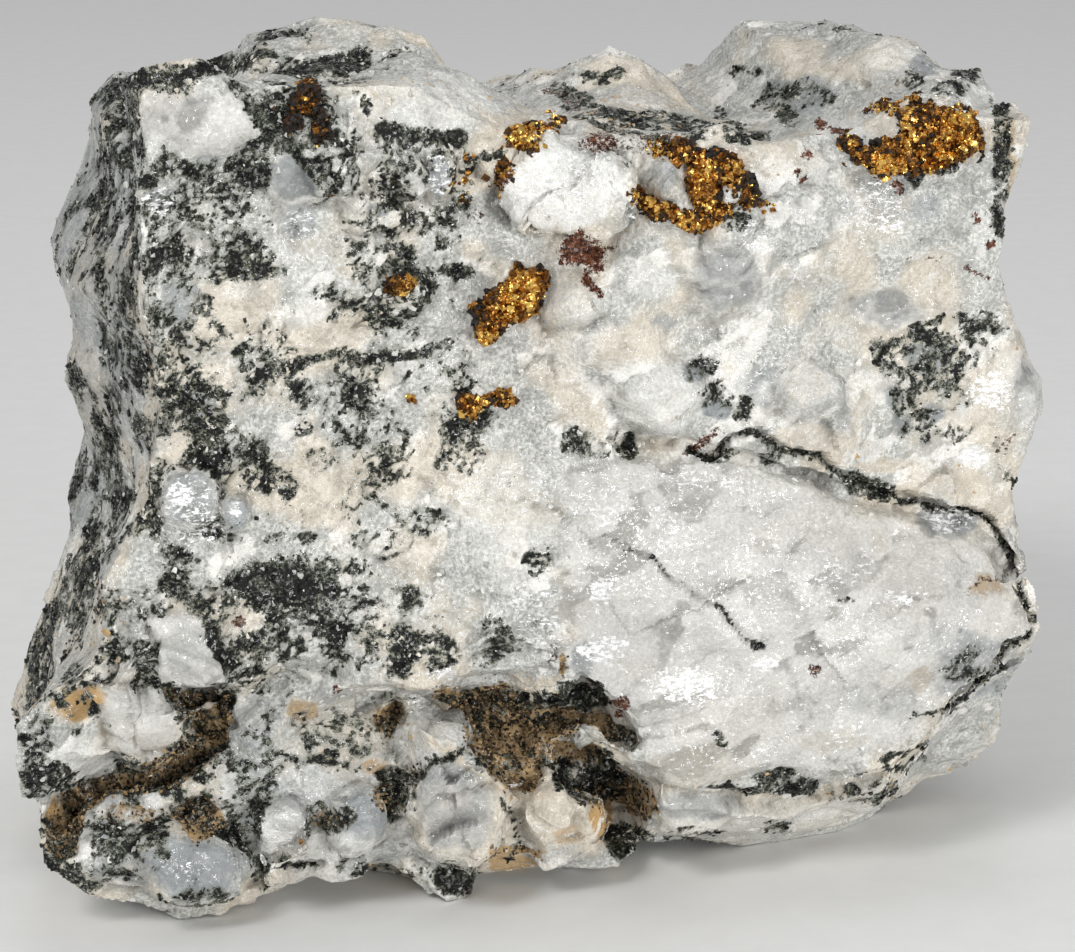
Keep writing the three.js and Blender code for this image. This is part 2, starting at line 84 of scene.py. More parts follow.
def lattice_bits(cells: Array, step: Sequence[int], seed: int) -> Array:
    """Gives every whole-number cell its own repeatable 32-bit number.

    Args:
        cells: three rows of whole numbers.
        step: how many cells along each axis to look away.
        seed: picks one of many independent sets.

    Returns:
        (N,) unsigned numbers.
    """
    bits = np.uint32(seed * SEED_PRIME % 2**32)
    for row, away, prime in zip(cells, step, AXIS_PRIMES):
        bits = bits ^ (row + np.int32(away)).view(np.uint32) * np.uint32(prime)
    for shift, factor in STIRS:
        bits ^= bits >> np.uint32(shift)
        bits *= np.uint32(factor)
    return bits


def three_numbers(bits: Array) -> tuple[Array, Array, Array]:
    """Splits each 32-bit number into three numbers from 0 to 1."""
    scale, mask = np.float32(1.0 / TEN_BITS), np.uint32(TEN_BITS)
    return (bits & mask) * scale, (bits >> np.uint32(10) & mask) * scale, (bits >> np.uint32(22)) * scale


def soft_noise(points: Array, size: float, seed: int) -> Array:
    """Smooth noise from -1 to 1 with one swell per cell of the given size.

    Args:
        points: (N, 3) in mm.
        size: width of a cell.
        seed: picks the noise.

    Returns:
        (N,) numbers.
    """
    cells, t = lattice(points, size)
    t = t * t * (3.0 - 2.0 * t)
    ease = (1.0 - t, t)
    total = np.zeros(len(points))
    for x, y, z in CORNERS:
        total += ease[x][0] * ease[y][1] * ease[z][2] * lattice_bits(cells, (x, y, z), seed)
    return total * (2.0 / (2**32 - 1)) - 1.0


@dataclass(frozen=True)
class Noise:
    """Soft noise added up at halving sizes, from about -1 to 1.

    Attributes:
        size: width of the first cells in mm.
        layers: how many sizes.
        seed: picks the noise.
    """

    size: float
    layers: int
    seed: int

    def at(self, points: Array) -> Array:
        """Reads the noise.

        Args:
            points: (N, 3) in mm.

        Returns:
            (N,) numbers.
        """
        total = np.zeros(len(points))
        for layer in range(self.layers):
            share = 0.5**layer
            total += soft_noise(points, self.size * share, self.seed + LAYER_SEEDS * layer) * share
        return total / (2.0 - 0.5 ** (self.layers - 1))


@dataclass(frozen=True)
class Facets:
    """A crowd of crystal facets: each cell has a plane of its own tilt, and the highest plane shows.

    Attributes:
        size: distance between facets, in mm.
        tilt: how steeply the planes lean.
        bulge: how much each facet crowns, which also keeps it local.
        lift: how unevenly the facets stand.
        turn: degrees that the long side is turned in the face's plane.
        stretch: how many times longer than wide a facet is.
        seed: picks the crowd.
    """

    size: float
    tilt: float = 0.4
    bulge: float = 0.35
    lift: float = 0.3
    turn: float = 0.0
    stretch: float = 1.0
    seed: int = 1

    def height(self, points: Array) -> Array:
        """Height of the crowd at each point, in mm, about zero on average."""
        return self.crowd(points)[0]

    def crowd(self, points: Array) -> tuple[Array, Array, Array]:
        """Evaluates the crowd.

        Args:
            points: (N, 3) in mm.

        Returns:
            The height in mm, the shown facet's own number from 0 to 1, and how far it stands over
            the next one, in mm: about zero in the groove between two facets.
        """
        a = math.radians(self.turn)
        along = points[:, 0] * math.cos(a) + points[:, 2] * math.sin(a)
        across = points[:, 2] * math.cos(a) - points[:, 0] * math.sin(a)
        turned = np.stack([along / self.stretch, points[:, 1], across], axis=1)
        cells, within = lattice(turned, self.size)
        within = within.astype(np.float32)
        best = np.full(len(points), -1e9, np.float32)
        second, owner = best.copy(), np.zeros(len(points), np.float32)
        for step in NEIGHBOURS:
            bits = lattice_bits(cells, step, self.seed * 2)
            starts, slopes = three_numbers(bits), three_numbers(lattice_bits(cells, step, self.seed * 2 + 1))
            own = (bits ^ (bits >> np.uint32(7))) % np.uint32(OWNERS) * np.float32(1.0 / (OWNERS - 1))
            h = np.float32(self.lift) * own
            for inside, away, start, slope in zip(within, step, starts, slopes):
                d = inside - np.float32(away) - start
                lean = slope * np.float32(2) - np.float32(1)
                h += np.float32(self.tilt) * d * lean - np.float32(self.bulge) * d * d
            second = np.maximum(second, np.minimum(best, h))
            owner = np.where(h > best, own, owner)
            best = np.maximum(best, h)
        return (best - 0.5 * self.lift) * self.size, owner, (best - second) * self.size


def smoothstep(low: float, high: float, value: Array) -> Array:
    """Eases from 0 at low to 1 at high."""
    t = np.clip((value - low) / (high - low), 0.0, 1.0)
    return t * t * (3.0 - 2.0 * t)


# ---------------- the view grid


@dataclass(frozen=True)
class View:
    """The fixed viewpoint from which the broken face is laid out.

    Places on the face are given on this view's grid, 1075 steps wide and 952 high, so that a
    patch of mineral lies on the rock where a sight line through its grid point meets it.
    """

    azimuth: float = -12.0
    elevation: float = 14.0
    distance: float = 320.0
    lens: float = 117.0
    sensor: float = 36.0
    target: tuple[float, float, float] = (2.72, 1.0, 31.7)
    width: int = 1075
    height: int = 952
    clip: tuple[float, float] = (0.01, 20.0)  # in metres

    def axes(self) -> tuple[Array, Array, Array]:
        """Unit vectors back to the eye, to the right and up.

        Returns:
            The three vectors.
        """
        a, e = math.radians(self.azimuth), math.radians(self.elevation)
        back = np.array([math.sin(a) * math.cos(e), -math.cos(a) * math.cos(e), math.sin(e)])
        right = np.array([math.cos(a), math.sin(a), 0.0])
        return back, right, np.cross(back, right)

    def eye(self) -> Array:
        """The eye's place in mm."""
        return np.array(self.target) + self.axes()[0] * self.distance

    def grid(self, points: Array) -> Array:
        """Places points of space on the grid.

        Args:
            points: (N, 3) in mm.

        Returns:
            (N, 2) grid places, x to the right and y down.
        """
        back, right, up = self.axes()
        q = points - self.eye()
        scale = self.lens / self.sensor * self.width / -(q @ back)
        return np.stack([self.width / 2 + q @ right * scale, self.height / 2 - q @ up * scale], axis=1)

    def faces(self, points: Array, normals: Array) -> Array:
        """How squarely each surface point looks at the eye, from -1 to 1.

        Args:
            points: (N, 3) in mm.
            normals: unit normals there.

        Returns:
            (N,) numbers.
        """
        to_eye = self.eye() - points
        to_eye /= np.linalg.norm(to_eye, axis=1)[:, None]
        return (to_eye * normals).sum(axis=1)

    def camera(self) -> None:
        """Makes the scene's camera at the viewpoint."""
        data = bpy.data.cameras.new("view")
        data.lens, data.sensor_width = self.lens, self.sensor
        data.clip_start, data.clip_end = self.clip
        camera = bpy.data.objects.new("view", data)
        bpy.context.scene.collection.objects.link(camera)
        back, right, up = self.axes()
        eye = self.eye() * MM
        columns = [Vector((*right, 0)), Vector((*up, 0)), Vector((*back, 0)), Vector((*eye, 1))]
        camera.matrix_world = Matrix(columns).transposed()
        bpy.context.scene.camera = camera


# ---------------- where each mineral lies


class Mineral(Enum):
    """What a patch of the surface is made of."""

    DARK = "dark"
    GREY = "grey"
    CREAM = "cream"
    RUST = "rust"
    CRUST = "crust"
    SNOW = "snow"
    GLASS = "glass"
    GILT = "gilt"


class Habit(Enum):
    """How a stretch of the rock breaks."""

    MASSIVE = "massive"
    ANGULAR = "angular"
    LUMPY = "lumpy"
    FOLIATED = "foliated"
    GRANULAR = "granular"


Reach = tuple[float, float, float, float]
OVAL_FADE = (0.7, 1.35)  # from where to where an oval fades, in half sizes
STREAK_FADE = (0.6, 1.4)  # the same for a streak, in half widths
FARTHEST = 1.4  # nothing of either shows beyond this


@dataclass(frozen=True)
class Blob:
    """An oval patch on the view grid: centre, half sizes, turn in degrees and strength."""

    x: float
    y: float
    wide: float
    high: float
    strength: float = 1.0
    turn: float = 0.0

    def reach(self) -> Reach:
        """The lowest and highest x, then y, that the patch can touch."""
        wide = FARTHEST * max(self.wide, self.high)
        return self.x - wide, self.x + wide, self.y - wide, self.y + wide

    def amount(self, grid: Array) -> Array:
        """How much of the patch each grid place holds, from 0 to its strength.

        Args:
            grid: two rows, x and y.

        Returns:
            (N,) numbers.
        """
        a = math.radians(self.turn)
        dx, dy = grid[0] - self.x, grid[1] - self.y
        u = (dx * math.cos(a) + dy * math.sin(a)) / self.wide
        v = (dy * math.cos(a) - dx * math.sin(a)) / self.high
        return self.strength * (1.0 - smoothstep(*OVAL_FADE, np.hypot(u, v)))


@dataclass(frozen=True)
class Streak:
    """A line of grid points with a half width."""

    points: Points
    width: float
    strength: float = 1.0

    def reach(self) -> Reach:
        """The lowest and highest x, then y, that the streak can touch."""
        return around(self.points, FARTHEST * self.width)

    def amount(self, grid: Array) -> Array:
        """How much of the streak each grid place holds, from 0 to its strength."""
        near = distance_to_line(grid, self.points)
        return self.strength * (1.0 - smoothstep(*STREAK_FADE, near / self.width))


@dataclass(frozen=True)
class Field:
    """A closed outline of grid points with a soft edge."""

    outline: Points
    soft: float = 8.0
    strength: float = 1.0

    def reach(self) -> Reach:
        """The lowest and highest x, then y, that the field can touch."""
        return around(self.outline, self.soft)

    def amount(self, grid: Array) -> Array:
        """How much of the field each grid place holds, from 0 to its strength.

        Args:
            grid: two rows, x and y.

        Returns:
            (N,) numbers.
        """
        near = distance_to_line(grid, [*self.outline, self.outline[0]])
        inside = inside_outline(grid, self.outline)
        return self.strength * smoothstep(-self.soft, self.soft, np.where(inside, near, -near))


Patch = Blob | Streak | Field
Patches = tuple[Patch, ...]


def around(points: Points, margin: float) -> Reach:
    """The lowest and highest x, then y, of the points with a margin."""
    xs, ys = zip(*points)
    return min(xs) - margin, max(xs) + margin, min(ys) - margin, max(ys) + margin


def distance_to_line(grid: Array, points: Points) -> Array:
    """Distance from each grid place to a line through the points.

    Args:
        grid: two rows, x and y.
        points: the points of the line.

    Returns:
        (N,) distances in grid steps.
    """
    best = np.full(len(grid[0]), 1e9)
    for (ax, ay), (bx, by) in zip(points, points[1:]):
        dx, dy = bx - ax, by - ay
        t = ((grid[0] - ax) * dx + (grid[1] - ay) * dy) / max(dx * dx + dy * dy, 1e-9)
        t = np.clip(t, 0.0, 1.0)
        best = np.minimum(best, np.hypot(grid[0] - ax - t * dx, grid[1] - ay - t * dy))
    return best


def inside_outline(grid: Array, outline: Points) -> Array:
    """True where a grid place lies inside the closed outline.

    Args:
        grid: two rows, x and y.
        outline: the outline's points.

    Returns:
        (N,) truths.
    """
    inside = np.zeros(len(grid[0]), bool)
    for (ax, ay), (bx, by) in zip(outline, [*outline[1:], outline[0]]):
        if ay == by:
            continue
        crosses = (ay > grid[1]) != (by > grid[1])
        inside ^= crosses & (grid[0] < (bx - ax) * (grid[1] - ay) / (by - ay) + ax)
    return inside


def strongest(patches: Iterable[Patch], grid: Array) -> Array:
    """The strongest patch at each grid place.

    Args:
        patches: the patches.
        grid: (N, 2) grid places.

    Returns:
        (N,) strengths.
    """
    total = np.zeros(len(grid))
    x, y = np.ascontiguousarray(grid.T)
    for patch in patches:
        left, right, top, bottom = patch.reach()
        near = np.flatnonzero((x > left) & (x < right) & (y > top) & (y < bottom))
        if len(near):
            total[near] = np.maximum(total[near], patch.amount(np.stack([x[near], y[near]])))
    return total


def ovals(*rows: Sequence[float]) -> tuple[Blob, ...]:
    """Ovals from rows of x, y, half width, half height, strength and turn."""
    return tuple(Blob(*row) for row in rows)


def streaks(*rows: Sequence[Any]) -> tuple[Streak, ...]:
    """Streaks from rows of half width, strength and the points."""
    return tuple(Streak(points, width, strength) for width, strength, *points in rows)


def fields(*rows: Sequence[Any]) -> tuple[Field, ...]:
    """Fields from rows of softness, strength and the outline's points."""
    return tuple(Field(points, soft, strength) for soft, strength, *points in rows)


CLEAN_FACE: Points = (
    (568, 470), (610, 455), (700, 462), (790, 480), (860, 512), (925, 525), (985, 548), (1022, 600),
    (1030, 640), (990, 665), (940, 715), (870, 755), (800, 768), (700, 785), (655, 775), (640, 735), (600, 690),
    (565, 655), (582, 628), (552, 606), (574, 572), (556, 548), (584, 514), (562, 496),
)
WHITE_CRYSTAL: Points = (
    (502, 200), (507, 175), (535, 152), (552, 140), (575, 152), (600, 162), (620, 167), (626, 180), (615, 197),
    (600, 220), (580, 225), (565, 230), (555, 220), (545, 234), (530, 232), (512, 222),
)
SEAM: Points = (
    (690, 452), (705, 459), (726, 436), (755, 437), (787, 450), (816, 458), (839, 474), (863, 483), (895, 502),
    (923, 500), (962, 508), (990, 524), (1008, 547), (1014, 570), (1022, 598), (1034, 620),
)
POCKET: Points = (
    (247, 107), (270, 95), (325, 82), (350, 135), (362, 160), (335, 200), (315, 185), (296, 160), (268, 138),
)
LEFT_LUMP: Points = ((98, 690), (155, 690), (180, 735), (150, 762), (110, 748))
BLUE_LUMP: Points = (
    (420, 778), (448, 756), (480, 766), (502, 796), (494, 838), (468, 862), (430, 850), (412, 815),
)
BLUE_LENS: Points = (
    (140, 852), (165, 832), (205, 838), (240, 848), (250, 872), (226, 900), (180, 906), (150, 888),
)

# How the face breaks; where none of these lies it is granular.
HABITS: dict[Habit, Patches] = {
    Habit.MASSIVE: (
        *fields(
            (14, 1, *CLEAN_FACE),
            (10, 1, (140, 95), (200, 88), (245, 100), (262, 130), (225, 150), (190, 150), (145, 140)),
            (5, 1, (150, 620), (200, 615), (232, 668), (225, 682), (165, 684)), (5, 1, *LEFT_LUMP),
        ),
        *ovals(
            (297, 178, 28, 24), (725, 280, 36, 36), (190, 495, 32, 28, 0.6), (200, 868, 34, 26, 0.6),
            (455, 812, 30, 38, 0.5), (1026, 392, 16, 38), (885, 310, 38, 18), (695, 806, 40, 16),
        ),
    ),
    Habit.ANGULAR: (
        *fields(
            (16, 1, (620, 245), (700, 225), (800, 195), (1000, 205), (1042, 300), (1045, 430), (1020, 520),
             (900, 492), (800, 462), (700, 445), (650, 420), (560, 345), (545, 290)),
            (10, 0.7, (700, 120), (800, 110), (835, 120), (820, 185), (760, 200), (740, 160)),
        ),
    ),
    Habit.LUMPY: (
        *fields(
            (12, 1, (0, 780), (40, 690), (230, 690), (330, 690), (430, 690), (560, 700), (640, 760), (655, 870),
             (420, 930), (100, 930), (20, 860)),
            (8, 0.6, (655, 795), (760, 800), (900, 770), (1000, 700), (990, 800), (830, 850), (660, 870)),
        ),
    ),
    Habit.FOLIATED: (
        *fields(
            (10, 0.7, (60, 60), (128, 92), (136, 250), (140, 380), (118, 470), (92, 520), (60, 660), (20, 660),
             (20, 60)),
        ),
    ),
}

# What the face holds of each mineral.
DARK: Patches = (
    # upper left: granular arch, its trail, the pocket and the strip along the top edge
    *fields(
        (4, 0.6, *POCKET),
        (12, 0.42, (143, 165), (190, 155), (232, 175), (262, 240), (222, 300), (236, 430), (222, 482),
         (180, 445), (148, 380), (140, 280)),
        (14, 0.36, (340, 130), (480, 125), (480, 200), (440, 290), (430, 345), (370, 345), (330, 250)),
        (14, 0.34, (240, 340), (460, 345), (500, 420), (440, 480), (360, 500), (250, 490), (230, 420)),
        (14, 0.38, (160, 570), (340, 550), (470, 600), (540, 640), (500, 680), (260, 682), (190, 640)),
        (8, 0.3, (60, 90), (130, 92), (134, 250), (130, 380), (90, 480), (66, 300)),
    ),
    *streaks(
        (7, 0.88, (150, 178), (160, 166), (175, 158), (192, 166)),
        (4, 0.72, (190, 168), (215, 185), (240, 205), (268, 222)),
        (4, 0.97, (250, 112), (275, 137), (312, 165), (326, 192)),
        (11, 0.8, (120, 84), (165, 72), (250, 62), (312, 66), (360, 60)), (3, 0.6, (133, 92), (132, 210)),
        (5, 0.7, (110, 85), (108, 125)), (3, 0.7, (357, 85), (372, 115)),
    ),
    *ovals((164, 240, 20, 26, 0.8), (168, 256, 16, 11), (252, 182, 18, 12, 0.55), (233, 258, 27, 27, 0.56)),
    # upper centre
    *streaks(
        (8, 0.88, (402, 134), (430, 133), (462, 136)),
        (6, 0.94, (378, 300), (380, 280), (396, 268), (416, 274), (424, 294), (416, 314), (394, 319),
         (378, 300)),
    ),
    *ovals(
        (387, 133, 13, 9, 0.92), (489, 156, 20, 6, 0.9), (418, 222, 16, 12, 0.86), (402, 252, 16, 9, 0.86),
        (455, 271, 18, 9, 0.86), (400, 293, 14, 14, 0.6), (466, 205, 5, 12, 0.7), (440, 240, 12, 8, 0.6),
    ),
    # the dark column down the left edge of the face
    *streaks(
        (6, 0.92, (184, 402), (200, 388), (224, 394), (229, 418), (207, 431), (186, 420), (184, 402)),
        (5, 0.72, (212, 465), (226, 500)), (5, 0.7, (158, 280), (150, 330), (152, 350)),
    ),
    *ovals(
        (181, 305, 26, 30, 0.64), (160, 370, 25, 30, 0.8), (205, 447, 20, 22, 0.92), (206, 408, 12, 10, 0.5),
    ),
    # centre left
    *fields(
        (4, 0.82, (162, 575), (180, 572), (215, 600), (212, 622), (190, 612)),
        (8, 0.8, (237, 575), (262, 555), (320, 560), (340, 590), (335, 615), (290, 615), (250, 612)),
    ),
    *streaks(
        (6, 0.88, (248, 376), (270, 366), (292, 368), (310, 358), (340, 350), (360, 355), (385, 362),
         (412, 358), (450, 342)),
        (6, 0.78, (372, 500), (395, 515), (422, 535)),
        (6, 1, (165, 578), (188, 600), (210, 622), (212, 642), (232, 668)),
    ),
    *ovals(
        (305, 396, 20, 11, 0.62), (361, 403, 21, 21, 0.68), (472, 424, 28, 17, 0.84), (461, 458, 29, 22, 0.62),
        (257, 467, 18, 28, 0.78), (288, 487, 13, 13, 0.55), (386, 455, 11, 10, 0.72), (367, 473, 10, 16, 0.68),
        (307, 536, 10, 6, 0.92), (414, 595, 12, 15, 0.78), (332, 631, 27, 10, 0.78), (300, 640, 44, 34, 0.56),
        (330, 655, 15, 30, 0.82), (268, 645, 26, 24, 0.6), (426, 642, 34, 8, 0.72, 15), (405, 660, 20, 18, 0.6),
        (508, 645, 18, 12, 0.68), (572, 440, 12, 14, 0.6), (631, 449, 10, 14, 0.6), (600, 445, 40, 14, 0.36),
        (136, 650, 12, 14, 0.58), (540, 560, 16, 20, 0.5), (300, 430, 20, 12, 0.5), (430, 520, 26, 14, 0.5),
    ),
    # right of the crystal, the dark lens and the back ridge
    *fields(
        (8, 0.42, (866, 345), (905, 325), (975, 318), (997, 350), (980, 400), (965, 435), (930, 450),
         (890, 420)),
        (5, 0.52, (745, 105), (770, 82), (800, 75), (844, 95), (838, 108), (800, 108), (770, 112)),
    ),
    *streaks(
        (5, 0.6, (905, 330), (935, 318), (965, 318)), (10, 0.85, (1004, 96), (1001, 150), (1004, 230)),
        (5, 0.5, (1000, 440), (1020, 500), (1032, 560)),
        (9, 0.66, (560, 92), (600, 112), (650, 120), (700, 128), (748, 138)),
        (4, 0.7, (560, 108), (590, 124), (640, 136), (690, 142)),
    ),
    *ovals(
        (734, 223, 15, 12), (716, 216, 6, 8, 0.92), (916, 177, 8, 11), (950, 170, 10, 5, 0.92),
        (741, 415, 8, 17), (718, 398, 18, 18, 0.6), (700, 368, 18, 12, 0.6), (884, 345, 19, 8, 0.98),
        (908, 374, 12, 7, 0.95), (983, 323, 18, 11, 0.7), (982, 362, 12, 11, 0.6), (936, 388, 19, 9, 0.5),
        (957, 434, 20, 12, 0.52), (968, 72, 14, 11, 0.78), (912, 80, 14, 8, 0.72), (952, 87, 18, 12, 0.6),
        (789, 116, 15, 10, 0.85), (852, 28, 19, 5, 0.55), (756, 138, 12, 5, 0.76), (730, 142, 7, 4, 0.72),
        (724, 115, 8, 6, 0.62), (600, 75, 30, 6, 0.5), (745, 70, 20, 6, 0.45),
    ),
    # the seam over the massive quartz and its thin parting
    *streaks(
        (3.5, 0.97, *SEAM), (1.6, 0.5, (602, 537), (624, 550), (650, 560), (680, 580), (702, 599)),
        (2.2, 0.72, (712, 606), (738, 631), (758, 648)),
    ),
    *ovals(
        (874, 489, 30, 13, 0.92, 20), (718, 457, 18, 8, 0.8), (770, 455, 14, 8, 0.85), (754, 645, 7, 4, 0.92),
        (717, 735, 5, 4), (722, 744, 8, 8, 0.75), (846, 601, 8, 3, 0.75, 20),
    ),
    # lower right
    *streaks(
        (4, 0.96, (1031, 631), (1005, 648), (995, 664), (972, 687), (946, 713), (914, 716)),
        (3, 0.95, (878, 758), (894, 750), (927, 745), (923, 758), (907, 768), (890, 768), (878, 758)),
        (3.5, 0.92, (712, 784), (748, 791), (775, 790)),
    ),
    *ovals(
        # (965, 665) is painted shade: it darkens a stretch of the lower right that lies in shade.
        (790, 783, 28, 13, 0.72), (767, 778, 12, 6, 0.9), (777, 830, 12, 8, 0.8), (965, 665, 30, 20, 0.42),
        (690, 835, 30, 10, 0.58), (880, 795, 60, 14, 0.4), (985, 775, 14, 4, 0.85),
    ),
    # lower band
    *streaks(
        (3, 1, (105, 768), (140, 766), (170, 757), (186, 746), (202, 735)), (3, 0.9, (163, 690), (182, 728)),
        (4, 0.95, (470, 700), (505, 722), (545, 716), (585, 728), (630, 742)),
        (4, 0.9, (520, 742), (548, 762), (590, 772)), (3, 0.9, (176, 700), (196, 716), (226, 712)),
        (4, 0.92, (70, 812), (110, 792), (160, 782), (196, 764), (222, 744)),
        (3, 0.8, (420, 770), (460, 752), (500, 768)), (3, 0.7, (262, 752), (300, 762), (330, 756)),
        (3.5, 0.8, (226, 800), (238, 840), (262, 872)), (3, 0.75, (500, 800), (520, 840), (510, 862)),
        (4, 1, (269, 863), (317, 866)), (3, 0.9, (118, 838), (140, 828), (161, 820)),
        (2.5, 0.7, (355, 878), (380, 866), (400, 872), (412, 888)), (4, 0.85, (246, 730), (270, 745)),
    ),
    *ovals(
        (224, 700, 9, 13, 0.95), (200, 812, 16, 12, 1, -30), (212, 895, 22, 8, 0.75), (260, 872, 9, 24, 0.72),
        (309, 825, 5, 20, 0.85), (259, 815, 8, 20, 0.8), (338, 822, 18, 16, 0.8), (402, 776, 26, 7),
        # (545, 698) here and (580, 695) below lie along the foot of the ledge, where its shadow falls: partly
        # dark silicate, partly painted shadow.
        (395, 798, 14, 22, 0.75), (50, 775, 26, 14, 0.66), (392, 730, 8, 10), (545, 698, 26, 9),
        (580, 695, 26, 13, 0.97), (622, 730, 18, 10, 0.9, 40), (598, 762, 18, 14), (600, 785, 30, 17, 0.97),
        (476, 725, 9, 14), (508, 765, 14, 12, 0.85), (628, 840, 24, 18), (455, 880, 28, 16),
        (520, 706, 12, 6, 0.9), (562, 780, 10, 12, 0.75), (480, 700, 40, 12, 0.5),
    ),
    # left side
    *streaks(
        (8, 0.55, (107, 95), (100, 200), (104, 300), (112, 400), (92, 480)),
        (5, 0.66, (134, 92), (133, 250), (130, 350), (110, 440), (89, 481)), (8, 0.42, (120, 500), (70, 650)),
    ),
    *ovals((125, 320, 15, 60, 0.6)),
)

GREY: Patches = (
    *fields(
        (10, 0.72, (50, 60), (136, 90), (140, 380), (100, 520), (40, 560)), (10, 0.75, *BLUE_LUMP),
        (10, 0.95, *BLUE_LENS),
        (12, 0.74, (692, 268), (706, 246), (742, 240), (770, 262), (756, 300), (722, 318), (696, 298)),
        (14, 0.58, (225, 690), (330, 690), (400, 760), (410, 870), (250, 880), (60, 850), (60, 800),
         (200, 760)),
    ),
    *ovals(
        (295, 175, 28, 23, 0.9), (300, 220, 20, 20, 0.8), (158, 195, 16, 12, 0.9), (216, 162, 16, 10, 0.7),
        (443, 172, 13, 30), (378, 210, 12, 9, 0.9), (152, 440, 20, 24, 0.7), (190, 496, 28, 28, 0.8),
        (238, 515, 16, 15, 0.9), (182, 305, 25, 26, 0.8), (206, 407, 16, 15, 0.9), (568, 305, 30, 25, 0.5),
        (800, 208, 18, 14, 0.6), (696, 368, 16, 11), (760, 388, 26, 26, 0.7), (718, 408, 14, 12),
        # (978, 667) is painted shade: grey laid on the same shaded stretch of the lower right.
        (948, 525, 33, 18, 0.85), (978, 667, 50, 36, 0.8), (125, 868, 36, 22, 0.8), (359, 817, 30, 26, 0.9),
        (466, 818, 20, 26, 0.5), (252, 755, 34, 25, 0.7), (192, 652, 40, 30, 0.6), (205, 100, 22, 5, 0.8),
        # (890, 205) and (925, 206) are painted shade: grey laid where the upper right lies in shade.
        (800, 95, 44, 22, 0.8), (921, 66, 18, 9, 0.9), (890, 205, 40, 26, 0.6), (925, 206, 22, 14, 0.8),
        (930, 360, 24, 18, 0.95), (891, 398, 11, 10), (930, 409, 12, 12, 0.95), (901, 422, 12, 10, 0.9),
        (1026, 392, 15, 38, 0.6), (698, 808, 42, 16, 0.7), (664, 322, 14, 10, 0.8), (885, 310, 38, 18, 0.7),
        (820, 450, 26, 10, 0.5), (587, 660, 12, 24, 0.8), (880, 700, 50, 22, 0.6), (640, 480, 50, 16, 0.5),
        (930, 640, 40, 24, 0.55), (690, 620, 70, 26, 0.44), (800, 560, 60, 22, 0.42), (640, 720, 30, 26, 0.42),
        (665, 176, 18, 20, 0.8), (246, 640, 20, 16, 0.6), (345, 868, 20, 12, 0.5), (255, 705, 22, 16, 0.5),
    ),
)

CREAM: Patches = (
    *streaks((8, 0.9, (1010, 120), (1012, 220), (1020, 330)), (6, 0.85, (430, 745), (520, 800), (560, 800))),
    *ovals(
        (785, 160, 40, 24, 0.6), (640, 108, 60, 20, 0.6), (880, 128, 22, 15, 0.7), (808, 388, 29, 26, 0.55),
        (818, 440, 52, 20, 0.7), (884, 464, 36, 9, 0.8), (958, 482, 42, 18, 0.7), (672, 402, 36, 32, 0.4),
        (160, 745, 40, 22, 0.6), (76, 702, 32, 22), (304, 712, 20, 14, 0.95), (373, 768, 20, 11, 0.95),
        (324, 760, 9, 8), (293, 892, 34, 20, 0.6), (430, 738, 36, 24, 0.5), (535, 685, 28, 14, 0.8),
        (475, 705, 42, 14, 0.9), (556, 739, 13, 9), (586, 758, 12, 8), (614, 758, 17, 16, 0.7),
        (603, 818, 13, 28), (569, 838, 24, 12, 0.9), (548, 778, 22, 15, 0.7), (900, 792, 90, 20, 0.6),
        (700, 765, 66, 22, 0.62), (985, 586, 18, 12, 0.9), (876, 544, 14, 14, 0.6), (28, 826, 10, 22, 0.9),
        (90, 625, 40, 50, 0.5), (430, 100, 60, 28, 0.4), (510, 866, 28, 12, 0.95), (832, 740, 46, 11, 0.6),
        (1008, 740, 22, 45, 0.6), (197, 710, 26, 18, 0.9), (920, 679, 13, 14, 0.8), (390, 716, 24, 22, 0.8),
        (1008, 300, 8, 60, 0.6), (100, 455, 14, 25, 0.5), (55, 815, 9, 25), (390, 880, 36, 16, 0.5),
    ),
)

RUST: Patches = (
    *fields(
        (6, 1, (552, 250), (570, 230), (580, 222), (590, 240), (615, 242), (602, 255), (600, 270), (580, 265),
         (565, 268), (555, 260)),
    ),
    *streaks(
        (4, 0.9, (585, 270), (597, 292)), (5, 0.7, (547, 92), (575, 106)), (2.5, 0.8, (959, 262), (992, 278)),
        (1.5, 0.7, (898, 256), (945, 258)), (4, 0.8, (866, 107), (886, 104)), (5, 0.6, (968, 592), (1003, 575)),
        (3.5, 0.8, (685, 455), (700, 445), (719, 428)), (3, 0.8, (1010, 445), (1018, 436)),
    ),
    *ovals(
        (580, 250, 26, 16, 0.7), (317, 117, 5, 5), (312, 136, 5, 5), (332, 121, 5, 4), (602, 143, 23, 12, 0.75),
        (503, 176, 11, 14, 0.85), (989, 241, 5, 5), (978, 217, 4, 4), (820, 129, 7, 5), (836, 130, 8, 4),
        (804, 152, 8, 6), (795, 174, 5, 5), (803, 184, 6, 4), (898, 187, 6, 5), (241, 622, 9, 7, 0.8),
        (322, 623, 6, 6, 0.8), (335, 692, 6, 5, 0.8), (662, 140, 26, 8, 0.7), (811, 670, 6, 5, 0.9),
        (620, 706, 7, 8), (477, 215, 8, 8, 0.5), (630, 150, 20, 10, 0.5), (550, 655, 7, 14, 0.6),
        (680, 138, 16, 5, 0.7),
    ),
)

